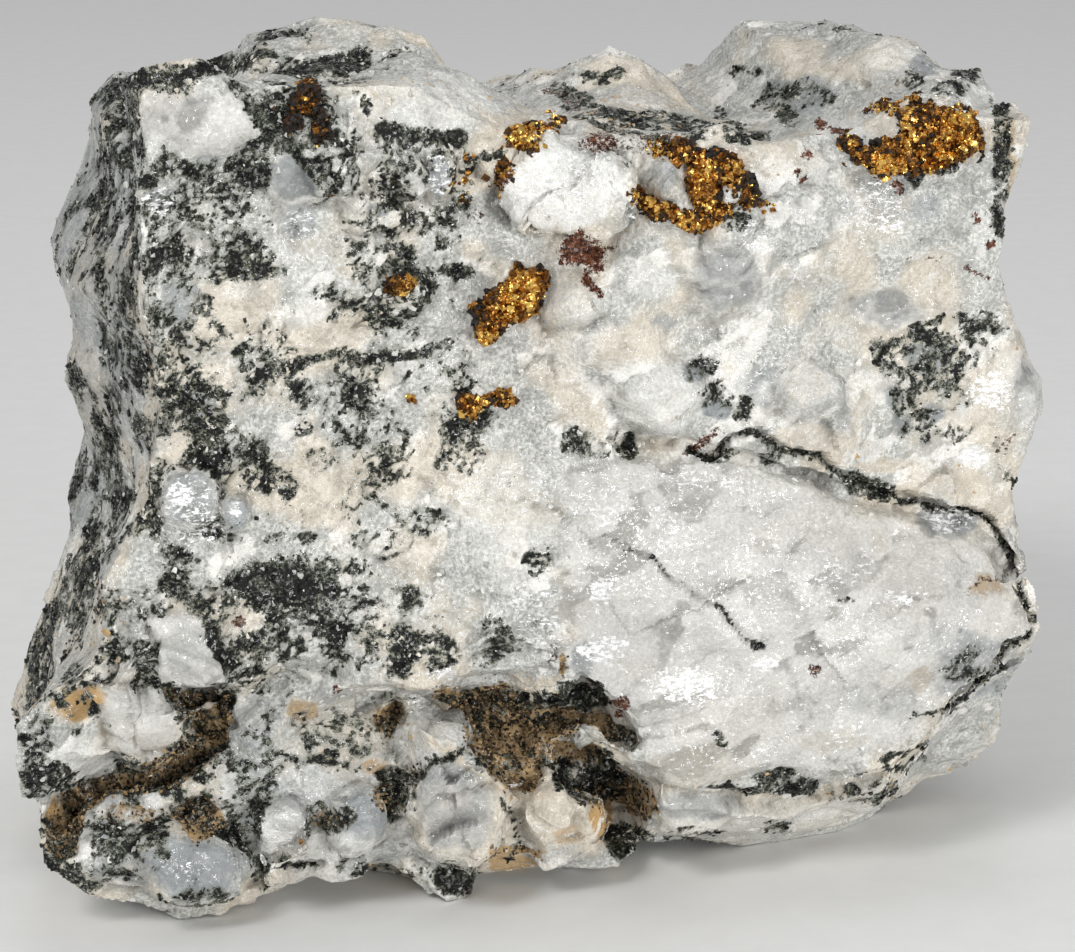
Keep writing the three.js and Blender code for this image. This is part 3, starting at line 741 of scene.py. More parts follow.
CRUST: Patches = (
    *fields(
        (4, 0.85, (161, 690), (230, 687), (232, 720), (215, 724), (200, 728), (185, 730), (172, 712)),
        (6, 0.97, (430, 690), (505, 686), (522, 705), (600, 710), (640, 738), (600, 735), (545, 735),
         (540, 790), (505, 790), (470, 745), (465, 718)),
    ),
    *streaks(
        (13, 0.98, (214, 732), (200, 748), (180, 764), (147, 774), (108, 782), (76, 800), (66, 820), (64, 842)),
    ),
    *ovals(
        (388, 720, 15, 19, 0.95), (610, 790, 26, 16, 0.8), (640, 798, 16, 20, 0.6), (200, 820, 24, 20, 0.9),
        (575, 752, 34, 14, 0.6), (130, 812, 34, 14, 0.45), (563, 664, 6, 14, 0.8), (390, 798, 16, 14, 0.7),
        (515, 852, 30, 5, 0.7), (330, 820, 20, 14, 0.5),
    ),
)

SNOW: Patches = (
    *fields(
        # The first field is painted light: it whitens the shaded underside of the lower right, as if fill light
        # reached under the overhang.
        (10, 0.62, (655, 812), (800, 800), (930, 770), (1000, 730), (985, 790), (900, 830), (760, 855),
         (665, 868)),
        (2.5, 1, *WHITE_CRYSTAL), (4, 0.6, *LEFT_LUMP),
    ),
    *ovals(
        (308, 312, 20, 14, 0.6), (430, 100, 60, 30, 0.6), (508, 520, 50, 60, 0.5), (300, 270, 30, 30, 0.25),
        (413, 178, 18, 17, 0.7), (377, 216, 28, 17, 0.5), (160, 149, 16, 7, 0.6), (652, 280, 28, 16, 0.6),
        (570, 302, 30, 22, 0.5), (808, 388, 26, 24, 0.8), (665, 400, 40, 34, 0.8), (283, 826, 22, 22, 0.8),
        (76, 757, 30, 22, 0.7), (430, 738, 34, 22, 0.6), (337, 788, 34, 16, 0.5), (245, 705, 20, 14, 0.6),
        (860, 130, 44, 16, 0.7), (978, 105, 20, 22, 0.7), (732, 193, 11, 10, 0.9), (230, 512, 12, 8, 0.6),
        (960, 410, 9, 10), (972, 458, 22, 7), (958, 128, 15, 7, 0.8), (355, 560, 20, 10, 0.7),
        (820, 165, 14, 14, 0.7), (890, 60, 30, 20, 0.5), (600, 650, 20, 60, 0.4), (1005, 375, 14, 26, 0.5),
    ),
)

# Glossy places, where the finish adds a glossy coat and also paints white flecks into the colour: painted
# glints.
GLASS: Patches = (
    *fields((14, 0.25, *CLEAN_FACE)),
    *ovals(
        (606, 590, 14, 13), (605, 648, 24, 12, 0.9), (769, 662, 16, 9), (685, 688, 38, 20, 0.8),
        (898, 600, 18, 10, 0.8), (640, 530, 60, 30, 0.4), (840, 570, 40, 16, 0.5), (605, 500, 40, 20, 0.5),
        (560, 180, 50, 35, 0.5), (443, 172, 12, 28, 0.7), (178, 498, 14, 12), (195, 515, 34, 30, 0.6),
        (236, 513, 7, 8, 0.9), (203, 131, 9, 4, 0.8), (892, 224, 14, 11, 0.8), (860, 245, 8, 5, 0.9),
        (870, 205, 34, 26, 0.6), (755, 240, 16, 18, 0.7), (909, 288, 10, 3), (990, 395, 20, 20, 0.9),
        (972, 457, 20, 7, 0.9), (948, 520, 26, 14, 0.8), (157, 198, 18, 13, 0.7), (300, 225, 16, 16, 0.6),
        (735, 355, 60, 30, 0.3), (440, 676, 14, 5, 0.9), (415, 705, 16, 10, 0.6), (700, 480, 60, 16, 0.4),
        (186, 870, 10, 12, 0.5), (283, 826, 20, 20, 0.5), (540, 620, 24, 50, 0.5), (500, 480, 60, 30, 0.4),
    ),
)

GILT: Patches = (
    # above and left of the crystal
    *streaks((8, 1, (550, 124), (536, 134), (528, 148))),
    *ovals(
        (524, 141, 8, 8, 0.9), (503, 176, 11, 14, 0.5), (464, 155, 5, 5, 0.9), (462, 178, 4, 7, 0.9),
        (465, 200, 4, 6, 0.7),
    ),
    # beside the crystal
    *streaks(
        (7, 0.85, (634, 198), (650, 210), (690, 217), (712, 215), (728, 208)),
        (8, 0.85, (655, 148), (690, 152), (712, 165), (735, 176), (750, 200)),
    ),
    *ovals(
        (658, 150, 8, 5, 0.8), (705, 188, 14, 24), (750, 206, 10, 6, 0.9), (767, 207, 6, 4, 0.6),
        (643, 203, 10, 6, 0.8),
    ),
    # middle, small and dark ring
    *fields(
        (3, 1, (482, 305), (500, 287), (517, 267), (537, 270), (540, 295), (532, 315), (515, 320), (500, 330),
         (492, 345), (486, 345), (482, 320)),
    ),
    *streaks((2, 0.8, (465, 305), (484, 305))),
    *ovals(
        (478, 403, 12, 10, 0.95), (500, 398, 12, 6, 0.6), (411, 401, 5, 4), (397, 290, 10, 9, 0.6),
        (405, 285, 5, 4, 0.9),
    ),
    # upper right
    *fields(
        (4, 0.95, (864, 108), (886, 100), (908, 104), (915, 92), (930, 100), (940, 106), (960, 104), (974, 118),
         (980, 150), (972, 160), (952, 164), (935, 172), (905, 176), (880, 172), (866, 162), (850, 160),
         (830, 150), (842, 144), (868, 152), (880, 142), (900, 140), (908, 124), (900, 112)),
    ),
    *ovals((848, 136, 4, 6, 0.8), (308, 100, 10, 14, 0.75), (292, 112, 7, 12, 0.7), (322, 130, 8, 16, 0.55)),
)

MINERALS: dict[Mineral, Patches] = {
    Mineral.DARK: DARK, Mineral.GREY: GREY, Mineral.CREAM: CREAM, Mineral.RUST: RUST,
    Mineral.CRUST: CRUST, Mineral.SNOW: SNOW, Mineral.GLASS: GLASS, Mineral.GILT: GILT,
}


# ---------------- surfaces

WEIGHT_LEVELS = 10
WELD_STEPS = 1000  # steps to the millimetre; corners in the same step are one


@dataclass
class Surface:
    """A closed triangle surface: (N, 3) points in mm and (M, 3) corner numbers."""

    points: Array
    faces: Array

    @classmethod
    def of_mesh(cls, mesh: bpy.types.Mesh) -> "Surface":
        """Reads a Blender mesh, which is in metres.

        Args:
            mesh: the mesh.

        Returns:
            The surface in mm.
        """
        points = np.empty(len(mesh.vertices) * 3, np.float32)
        mesh.vertices.foreach_get("co", points)
        mesh.calc_loop_triangles()
        faces = np.empty(len(mesh.loop_triangles) * 3, np.int32)
        mesh.loop_triangles.foreach_get("vertices", faces)
        return cls(points.reshape(-1, 3).astype(float) / MM, faces.reshape(-1, 3))

    def face_vectors(self) -> Array:
        """Each triangle's normal times twice its area."""
        a, b, c = (self.points[self.faces[:, i]] for i in range(3))
        return np.cross(b - a, c - a)

    def spread(self, values: Array) -> Array:
        """Adds (M, K) values of the triangles up at their corners, as (N, K).

        Args:
            values: a row for each triangle.

        Returns:
            A row for each point.
        """
        corner = self.faces.ravel()
        columns = np.repeat(values, 3, axis=0).T
        return np.stack([np.bincount(corner, column, len(self.points)) for column in columns], axis=1)

    def normals(self) -> Array:
        """Unit normals at the points."""
        total = self.spread(self.face_vectors())
        return total / np.maximum(np.linalg.norm(total, axis=1), 1e-12)[:, None]

    def mesh(self, name: str) -> bpy.types.Mesh:
        """The surface as a Blender mesh, in metres.

        Args:
            name: the mesh's name.

        Returns:
            The mesh.
        """
        mesh, count = bpy.data.meshes.new(name), len(self.faces)
        mesh.vertices.add(len(self.points))
        mesh.vertices.foreach_set("co", (self.points * MM).astype(np.float32).ravel())
        mesh.loops.add(count * 3)
        mesh.loops.foreach_set("vertex_index", self.faces.astype(np.int32).ravel())
        mesh.polygons.add(count)
        mesh.polygons.foreach_set("loop_start", np.arange(0, count * 3, 3, dtype=np.int32))
        mesh.polygons.foreach_set("loop_total", np.full(count, 3, np.int32))
        mesh.update()
        return mesh

    def modified(self, kind: str, weights: Array | None = None, **settings: Any) -> "Surface":
        """Runs one Blender modifier over the surface.

        Args:
            kind: Blender's name for the modifier.
            weights: how much it may do at each point, or None for everywhere alike.
            settings: the modifier's own settings.

        Returns:
            The changed surface.
        """
        mesh = self.mesh("work")
        work = bpy.data.objects.new("work", mesh)
        bpy.context.scene.collection.objects.link(work)
        modifier = work.modifiers.new("work", kind)
        if weights is not None:
            group = work.vertex_groups.new(name="work")
            levels = np.round(weights * WEIGHT_LEVELS).astype(int)
            for level in range(1, WEIGHT_LEVELS + 1):
                group.add(np.flatnonzero(levels == level).tolist(), level / WEIGHT_LEVELS, "REPLACE")
            modifier.vertex_group = "work"
        for key, value in settings.items():
            setattr(modifier, key, value)
        graph = bpy.context.evaluated_depsgraph_get()
        result = Surface.of_mesh(work.evaluated_get(graph).to_mesh())
        bpy.data.objects.remove(work)
        bpy.data.meshes.remove(mesh)
        return result

    def smoothed(self, rounds: int) -> "Surface":
        """The surface with each point drawn half way to its neighbours' mean, several times."""
        return Surface(self.modified("SMOOTH", factor=0.5, iterations=rounds).points, self.faces)


def make_object(
    name: str, surface: Surface, material: Material,
    values: dict[str, Array] | None = None, smooth: bool = False,
) -> Node:
    """Makes a Blender object from a surface in mm.

    Args:
        name: the piece's name.
        surface: its triangles.
        material: its finish.
        values: numbers at the points that the finish reads, by name.
        smooth: shade across the triangles instead of flat.

    Returns:
        The object, linked to the scene.
    """
    mesh = surface.mesh(name)
    mesh.polygons.foreach_set("use_smooth", np.full(len(surface.faces), smooth))
    for key, numbers in (values or {}).items():
        attribute = mesh.attributes.new(key, "FLOAT", "POINT")
        attribute.data.foreach_set("value", numbers.astype(np.float32))
    mesh.materials.append(material)
    mesh.update()
    piece = bpy.data.objects.new(name, mesh)
    bpy.context.scene.collection.objects.link(piece)
    return piece


# ---------------- finishes


def linear(code: str) -> tuple[float, float, float, float]:
    """Turns an sRGB hex colour into linear red, green, blue and alpha.

    Args:
        code: a hash and six digits.

    Returns:
        The four channels.
    """
    channels = [int(code[i : i + 2], 16) / 255 for i in (1, 3, 5)]
    r, g, b = (c / 12.92 if c <= 0.04045 else ((c + 0.055) / 1.055) ** 2.4 for c in channels)
    return r, g, b, 1.0


def per_mm(size: float) -> float:
    """The texture scale that repeats every size mm."""
    return 1.0 / (size * MM)


SHADER_INPUTS = (
    "Base Color", "Roughness", "Metallic", "IOR", "Normal",
    "Coat Weight", "Coat Normal", "Coat Roughness", "Coat IOR", "Specular IOR Level",
)


class Step(Enum):
    """The kinds of shading node: Blender's type, its inputs in order, the output read, usual settings."""

    STORED = ("ShaderNodeAttribute", (), "Fac", {})
    PLACE = ("ShaderNodeTexCoord", (), "Object", {})
    NOISE = ("ShaderNodeTexNoise", ("Vector", "Scale", "Detail", "Roughness"), "Fac", {})
    CELLS = ("ShaderNodeTexVoronoi", ("Vector", "Scale"), "Color", {})
    SPLIT = ("ShaderNodeSeparateColor", (0,), 0, {})
    MATH = ("ShaderNodeMath", (0, 1, 2), 0, {"operation": "MULTIPLY"})
    SCALE = ("ShaderNodeMath", (0, 1, 2), 0, {"operation": "MULTIPLY_ADD"})
    VECTOR = ("ShaderNodeVectorMath", (0, 1, 2), 0, {"operation": "ADD"})
    RANGE = ("ShaderNodeMapRange", (0, 1, 2, 3, 4), 0, {"interpolation_type": "SMOOTHSTEP"})
    MIX = ("ShaderNodeMix", (0, 6, 7), 2, {"data_type": "RGBA"})
    GREY = ("ShaderNodeCombineColor", (0, 1, 2), 0, {})
    BUMP = ("ShaderNodeBump", ("Strength", "Distance", "Height"), 0, {})
    SHADER = ("ShaderNodeBsdfPrincipled", SHADER_INPUTS, 0, {})
    OUTPUT = ("ShaderNodeOutputMaterial", ("Surface",), None, {})


@dataclass
class Recipe:
    """A material under construction."""

    name: str
    tree: bpy.types.NodeTree = field(init=False)
    material: Material = field(init=False)
    place: bpy.types.NodeSocket = field(init=False)

    def __post_init__(self) -> None:
        """Makes the empty material and its place in space."""
        self.material = bpy.data.materials.new(self.name)
        self.material.use_nodes = True
        self.tree = self.material.node_tree
        self.tree.nodes.clear()
        self.place = self.add(Step.PLACE)

    def add(self, step: Step, *inputs: Any, read: Any = None, **settings: Any) -> Any:
        """Adds a node.

        Args:
            step: the kind of node.
            inputs: for each input in order a value, an sRGB hex colour or another node's output;
                None skips one.
            read: the output to read instead of the usual one.
            settings: the node's own settings.

        Returns:
            The output that is read.
        """
        kind, keys, output, usual = step.value
        node = self.tree.nodes.new(kind)
        for key, value in {**usual, **settings}.items():
            setattr(node, key, value)
        for key, value in zip(keys, inputs):
            if isinstance(value, bpy.types.NodeSocket):
                self.tree.links.new(value, node.inputs[key])
            elif value is not None:
                node.inputs[key].default_value = linear(value) if isinstance(value, str) else value
        wanted = output if read is None else read
        return None if wanted is None else node.outputs[wanted]

    def blend(self, a: Any, b: Any, share: float) -> Any:
        """A mean of two numbers that takes the given share of the second."""
        return self.add(Step.SCALE, b, share, self.add(Step.MATH, a, 1.0 - share))

    def shaded(self, colour: Any, amount: Any) -> Any:
        """The colour made darker or lighter by a number."""
        grey = self.add(Step.GREY, amount, amount, amount)
        return self.add(Step.MIX, 1.0, colour, grey, blend_type="MULTIPLY")

    def glints(self, crystals: Any, reach: Any, base: Any) -> Any:
        """Leans the normal differently in every crystal.

        Args:
            crystals: a colour of its own for each crystal.
            reach: how far the normal leans.
            base: the normal to lean.

        Returns:
            The leaning normal.
        """
        centred = self.add(Step.VECTOR, crystals, (-0.5, -0.5, -0.5))
        reaches = self.add(Step.GREY, reach, reach, reach)
        scaled = self.add(Step.VECTOR, centred, reaches, operation="MULTIPLY")
        return self.add(Step.VECTOR, self.add(Step.VECTOR, base, scaled), operation="NORMALIZE")

    def finish(self, *inputs: Any) -> Material:
        """Ends the material in a Principled shader with the given inputs."""
        self.add(Step.OUTPUT, self.add(Step.SHADER, *inputs))
        return self.material


STORED_NUMBERS = ("grain", "crumb", "drift", "calm", "tone", "hollow")


@dataclass(frozen=True)
class Patterns:
    """The patterns that the quartz is drawn with, as node outputs."""

    parting: Any  # a colour of its own for each fresh facet
    mottle: Any  # stains some millimetres wide
    cloud: Any  # milkiness
    speck: Any  # single grains
    fine: Any  # grains and the dust between them
    sugar: Any  # a colour of its own for each sugary crystal


@dataclass(frozen=True)
class MilkyQuartz:
    """Vein quartz, broken, not polished: white from tiny fluid bubbles, glassy on fresh facets.

    Grey where it is clear enough to look into, cream and tan where iron water soaked in, and
    shot through with a fine dark silicate.
    """

    milk: str = "#c9c7c0"
    bright: str = "#f1efe9"
    ashen: str = "#a3a5a1"
    warm: str = "#d8ccb8"
    clear: str = "#94999b"
    cream: str = "#d3c9b9"
    tan: str = "#bd9c6c"
    snow: str = "#e9e8e3"
    # painted glint: the white painted into the colour as flecks of thrown-back light
    painted_glint: str = "#fbfbfa"
    dark: str = "#0b0b0a"
    green: str = "#33382f"
    olive: str = "#5a5d4f"
    smoke: str = "#7b7c72"
    rust: str = "#8a5030"
    maroon: str = "#2c1610"
    crust: str = "#b89c74"
    soot: str = "#2a2219"
    # painted crevice shade: the dark grey-brown that the colour is multiplied towards in hollows
    crevice_shade_colour: str = "#4c463c"
    sugar_mm: float = 0.26
    facet_mm: float = 3.4
    cloud_mm: float = 1.4
    speck_mm: float = 0.3
    dust_mm: float = 0.13
    mottle_mm: float = 3.0
    painted_glint_mm: float = 0.34
    bump_mm: float = 0.5
    olive_from: tuple[float, float] = (0.08, 0.24)
    dark_from: tuple[float, float] = (0.38, 0.52)
    painted_glint_from: tuple[float, float] = (1.5, 1.62)
    calm_dimming: float = -0.26
    facet_lean: float = 0.25
    sugar_lean: float = 0.42
    roughness: float = 0.42
    crust_roughness: float = 0.4
    glaze_roughness: float = 0.1
    specular: float = 0.22
    ior: float = 1.54
    parting_ior: float = 2.4  # air in the fine partings under a facet throws back more than the facet

    def make(self) -> Material:
        """Builds the material.

        Returns:
            The material.
        """
        r = Recipe("milky_vein_quartz")
        stored = {name: r.add(Step.STORED, attribute_name=name) for name in STORED_NUMBERS}
        amount = {m: r.add(Step.STORED, attribute_name=m.value) for m in Mineral if m is not Mineral.GILT}
        patterns = self.patterns(r)
        colour = self.white(r, stored, patterns)
        colour = self.stained(r, colour, stored["crumb"], amount, patterns)
        colour = self.blackened(r, colour, amount[Mineral.DARK], patterns)
        # Painted crevice shade: the colour is darkened towards grey-brown in the hollows, where shade falls.
        hollow = r.add(Step.MATH, stored["hollow"], 0.6)
        colour = r.add(Step.MIX, hollow, colour, self.crevice_shade_colour, blend_type="MULTIPLY")
        colour = self.toned(r, colour, stored, patterns)
        # Painted glints: white flecks painted into the colour of glossy places, where the glossy coat comes in
        # too.
        painted_glint = self.painted_glint_flecks(r, amount[Mineral.GLASS])
        colour = r.add(Step.MIX, painted_glint, colour, self.painted_glint)
        glassy = r.add(Step.SCALE, amount[Mineral.GLASS], 0.6, r.add(Step.SPLIT, patterns.sugar, read=1))
        glassy = r.add(Step.MATH, r.add(Step.RANGE, glassy, 0.8, 0.9), painted_glint, operation="MAXIMUM")
        rough = r.add(Step.SCALE, amount[Mineral.CRUST], self.crust_roughness, self.roughness)
        height = r.blend(r.blend(patterns.cloud, patterns.fine, 0.4), patterns.mottle, 0.4)
        strength = r.add(Step.SCALE, stored["calm"], -0.45, 1.0)
        bump = r.add(Step.BUMP, strength, self.bump_mm * MM, height)
        normal = r.glints(patterns.parting, r.add(Step.MATH, stored["calm"], self.facet_lean), bump)
        glaze = r.glints(patterns.sugar, self.sugar_lean, normal)
        return r.finish(
            colour, rough, None, self.ior, normal,
            glassy, glaze, self.glaze_roughness, self.parting_ior, self.specular,
        )

    def patterns(self, r: Recipe) -> Patterns:
        """Adds the patterns to the material under construction.

        Args:
            r: the material.

        Returns:
            The patterns.
        """
        sugar = r.add(Step.CELLS, r.place, per_mm(self.sugar_mm))
        parting = r.add(Step.CELLS, r.place, per_mm(self.facet_mm))
        cloud = r.add(Step.NOISE, r.place, per_mm(self.cloud_mm), 5.0, 0.68)
        speck = r.add(Step.NOISE, r.place, per_mm(self.speck_mm), 2.0, 0.6)
        mottle = r.add(Step.NOISE, r.place, per_mm(self.mottle_mm), 8.0, 0.7)
        dust = r.add(Step.NOISE, r.place, per_mm(self.dust_mm), 1.0, 0.5)
        return Patterns(parting, mottle, cloud, speck, r.blend(speck, dust, 0.4), sugar)

    def white(self, r: Recipe, stored: dict[str, Any], patterns: Patterns) -> Any:
        """The quartz itself, before anything stains it.

        Args:
            r: the material under construction.
            stored: the numbers on the mesh.
            patterns: its patterns.

        Returns:
            The colour.
        """
        lively = r.add(Step.SCALE, stored["calm"], -0.78, 0.95)
        milky = r.add(Step.RANGE, r.blend(patterns.cloud, stored["crumb"], 0.5), 0.32, 0.6)
        colour = r.add(Step.MIX, milky, self.milk, self.bright)
        ashen = r.add(Step.RANGE, r.blend(stored["grain"], stored["drift"], 0.4), 0.4, 0.6)
        broken = r.add(Step.RANGE, patterns.speck, 0.3, 0.7, 1.0, 0.4)
        ashen = r.add(Step.MATH, r.add(Step.MATH, ashen, lively), broken)
        colour = r.add(Step.MIX, ashen, colour, self.ashen)
        warm = r.add(Step.RANGE, r.blend(patterns.speck, stored["drift"], 0.6), 0.52, 0.34)
        warm = r.add(Step.MATH, r.add(Step.MATH, warm, lively), 0.7)
        return r.add(Step.MIX, warm, colour, self.warm)

    def stained(
        self, r: Recipe, colour: Any, crumb: Any, amount: dict[Mineral, Any], patterns: Patterns
    ) -> Any:
        """Lays snow-white, cream, grey, rusty and crusted places over the quartz.

        Args:
            r: the material under construction.
            colour: the quartz's own colour.
            crumb: each small grain's own number.
            amount: how much of each mineral the mesh holds.
            patterns: the patterns that break the places up.

        Returns:
            The colour.
        """
        cloud, fine = patterns.cloud, patterns.fine
        colour = r.add(Step.MIX, r.add(Step.MATH, amount[Mineral.SNOW], 0.9), colour, self.snow)
        cream = r.add(Step.MIX, r.add(Step.RANGE, amount[Mineral.CREAM], 0.8, 1.0), self.cream, self.tan)
        colour = r.add(Step.MIX, self.patchy(r, amount[Mineral.CREAM], cloud, 0.6), colour, cream)
        colour = r.add(Step.MIX, self.patchy(r, amount[Mineral.GREY], cloud, 0.75), colour, self.clear)
        rust = r.add(Step.MIX, r.add(Step.RANGE, fine, 0.4, 0.62), self.maroon, self.rust)
        rusty = r.add(Step.MATH, amount[Mineral.RUST], 0.55, operation="ADD")
        rusty = r.add(Step.RANGE, r.add(Step.SCALE, fine, -2.2, rusty), -0.1, 0.25)
        colour = r.add(Step.MIX, rusty, colour, rust)
        earthy = r.blend(r.blend(cloud, fine, 0.5), crumb, 0.35)
        crust = r.add(Step.MIX, r.add(Step.RANGE, earthy, 0.36, 0.62), self.soot, self.crust)
        return r.add(Step.MIX, self.patchy(r, amount[Mineral.CRUST], cloud, 0.25), colour, crust)

    def blackened(self, r: Recipe, colour: Any, amount: Any, patterns: Patterns) -> Any:
        """Lays the dark silicate over the colour: a smoky haze, then green grains, then black ones.

        Args:
            r: the material under construction.
            colour: the colour so far.
            amount: how much dark silicate the mesh holds.
            patterns: the patterns that break it up.

        Returns:
            The colour.
        """
        reach = r.add(Step.SCALE, patterns.mottle, 3.1, r.add(Step.SCALE, amount, 1.3, -2.25))
        level = r.add(Step.SCALE, patterns.fine, 2.5, r.add(Step.MATH, reach, -1.25, operation="ADD"))
        haze = r.add(Step.MATH, r.add(Step.RANGE, reach, -0.3, 0.25), 0.72)
        colour = r.add(Step.MIX, haze, colour, self.smoke)
        shade = r.add(Step.RANGE, r.add(Step.SPLIT, patterns.sugar), 0.1, 0.9)
        grains = r.add(Step.MIX, shade, self.green, self.olive)
        colour = r.add(Step.MIX, r.add(Step.RANGE, level, *self.olive_from), colour, grains)
        return r.add(Step.MIX, r.add(Step.RANGE, level, *self.dark_from), colour, self.dark)

    def toned(self, r: Recipe, colour: Any, stored: dict[str, Any], patterns: Patterns) -> Any:
        """Gives every grain and facet a lightness of its own.

        Args:
            r: the material under construction.
            colour: the colour so far.
            stored: the numbers on the mesh.
            patterns: its patterns.

        Returns:
            The colour.
        """
        own = r.add(Step.SCALE, stored["tone"], 0.24, 0.88)
        own = r.add(Step.SCALE, stored["calm"], self.calm_dimming, own)
        sheet = r.add(Step.RANGE, r.add(Step.SPLIT, patterns.parting), 0.0, 1.0, 0.94, 1.05)
        sheet = r.add(Step.MATH, sheet, r.add(Step.RANGE, patterns.fine, 0.35, 0.65, 0.88, 1.08))
        return r.shaded(colour, r.add(Step.MATH, own, sheet))

    def painted_glint_flecks(self, r: Recipe, glass: Any) -> Any:
        """Painted glints: white flecks painted into the colour where a parting just under a glassy place would
        throw the light back.

        Args:
            r: the material under construction.
            glass: how glassy the mesh is.

        Returns:
            Their amount.
        """
        stretched = r.add(Step.VECTOR, r.place, (0.5, 1.0, 1.1), operation="MULTIPLY")
        flecks = r.add(Step.NOISE, stretched, per_mm(self.painted_glint_mm), 3.0, 0.7)
        flecks = r.add(Step.SCALE, flecks, 2.2, r.add(Step.MATH, glass, 0.55))
        return r.add(Step.RANGE, flecks, *self.painted_glint_from)

    def patchy(self, r: Recipe, amount: Any, pattern: Any, softness: float) -> Any:
        """Breaks a stored amount up: a low amount shows only in the pattern's low places."""
        return r.add(Step.RANGE, r.add(Step.SCALE, pattern, -0.7, amount), 0.0, softness)


@dataclass(frozen=True)
class Chalcopyrite:
    """Copper iron sulphide: broken grains like brass, tarnished orange to bronze and brown-black."""

    gold: str = "#e8bd66"
    orange: str = "#b47a38"
    bronze: str = "#6a4724"
    tarnish: str = "#1c140e"
    grain_mm: float = 0.25
    fleck_mm: float = 0.22
    bump_mm: float = 0.06
    lean: float = 0.7

    def make(self) -> Material:
        """Builds the material.

        Returns:
            The material.
        """
        r = Recipe("chalcopyrite")
        fine = r.add(Step.NOISE, r.place, per_mm(self.fleck_mm), 2.0, 0.7)
        uneven = r.add(Step.SCALE, fine, 0.9, -0.45)
        tone = r.add(Step.MATH, r.add(Step.STORED, attribute_name="tone"), uneven, operation="ADD")
        colour = r.add(Step.MIX, r.add(Step.RANGE, tone, 0.15, 0.4), self.tarnish, self.bronze)
        colour = r.add(Step.MIX, r.add(Step.RANGE, tone, 0.4, 0.6), colour, self.orange)
        colour = r.add(Step.MIX, r.add(Step.RANGE, tone, 0.6, 0.82), colour, self.gold)
        metal = r.add(Step.RANGE, tone, 0.12, 0.4, 0.2, 1.0)
        rough = r.add(Step.RANGE, tone, 0.2, 0.8, 0.55, 0.28)
        bump = r.add(Step.BUMP, 0.4, self.bump_mm * MM, fine)
        cells = r.add(Step.CELLS, r.place, per_mm(self.grain_mm))
        return r.finish(colour, rough, metal, None, r.glints(cells, self.lean, bump))


# ---------------- the rock


@dataclass(frozen=True)
class Relief:
    """One layer of a habit's relief: facets and how much of their height shows."""

    facets: Facets
    share: float


def reliefs(*rows: Sequence[float]) -> tuple[Relief, ...]:
    """Layers from rows of the share and what the facets are."""
    return tuple(Relief(Facets(*facets), share) for share, *facets in rows)


RELIEFS: dict[Habit, tuple[Relief, ...]] = {
    Habit.MASSIVE: reliefs(
        (0.42, 9, 0.5, 0.3, 0.3, 15, 1.3, 11),
        (0.3, 4.2, 0.6, 0.25, 0.5, 24, 1.7, 12),
        (0.28, 1.5, 0.7, 0.35, 0.5, 20, 1.9, 13),
    ),
    Habit.ANGULAR: reliefs(
        (0.5, 6.5, 0.7, 0.25, 0.4, 15, 1.3, 21),
        (0.38, 2.6, 0.7, 0.3, 0.4, 30, 1.4, 22),
        (0.25, 1.1, 0.6, 0.4, 0.3, 0, 1, 23),
    ),
    Habit.LUMPY: reliefs(
        (0.6, 5, 0.6, 0.5, 0.5, 20, 1.4, 31),
        (0.55, 2.2, 0.8, 0.4, 0.5, 0, 1.3, 32),
        (0.45, 0.95, 0.7, 0.4, 0.5, 0, 1.1, 33),
    ),
    Habit.FOLIATED: reliefs(
        (0.4, 5, 0.5, 0.3, 0.3, 70, 1.4, 42),
        (0.4, 2, 0.6, 0.4, 0.4, 75, 1.9, 41),
        (0.35, 0.9, 0.6, 0.5, 0.4, 75, 1.5, 43),
    ),
    Habit.GRANULAR: reliefs(
        (0.4, 3.6, 0.5, 0.45, 0.5, 0, 1.2, 51),
        (0.45, 1.7, 0.6, 0.5, 0.5, 30, 1.2, 52),
        (0.4, 0.85, 0.6, 0.5, 0.6, 0, 1, 53),
    ),
}

# Clefts: where, and how deep in mm.
CRACKS: tuple[tuple[Patch, float], ...] = (
    (Streak(SEAM, 5), 1),
    (Streak(((602, 537), (650, 560), (702, 599), (758, 648)), 2.5), 0.3),
    (Streak(((1031, 631), (1005, 648), (995, 664), (972, 687), (946, 713)), 5), 0.8),
    (Streak(((215, 735), (184, 758), (147, 770), (105, 778), (68, 802)), 10), 1.2),
    (Streak(((163, 690), (182, 728), (232, 720)), 5), 0.7),
    (Streak(((269, 863), (317, 866)), 5), 0.8),
    (Blob(200, 812, 14, 10), 1.2),
    (Blob(402, 776, 24, 6), 1),
    (Blob(392, 722, 13, 16), 0.8),
    (Blob(556, 698, 34, 8), 1),
)

BROKEN = Facets(2.4, 0.8, 0.2, 0.3, 20, 1.2, 62)
PITS = Facets(1.5, 0.3, 0.9, 0.9, 0, 1.0, 61)

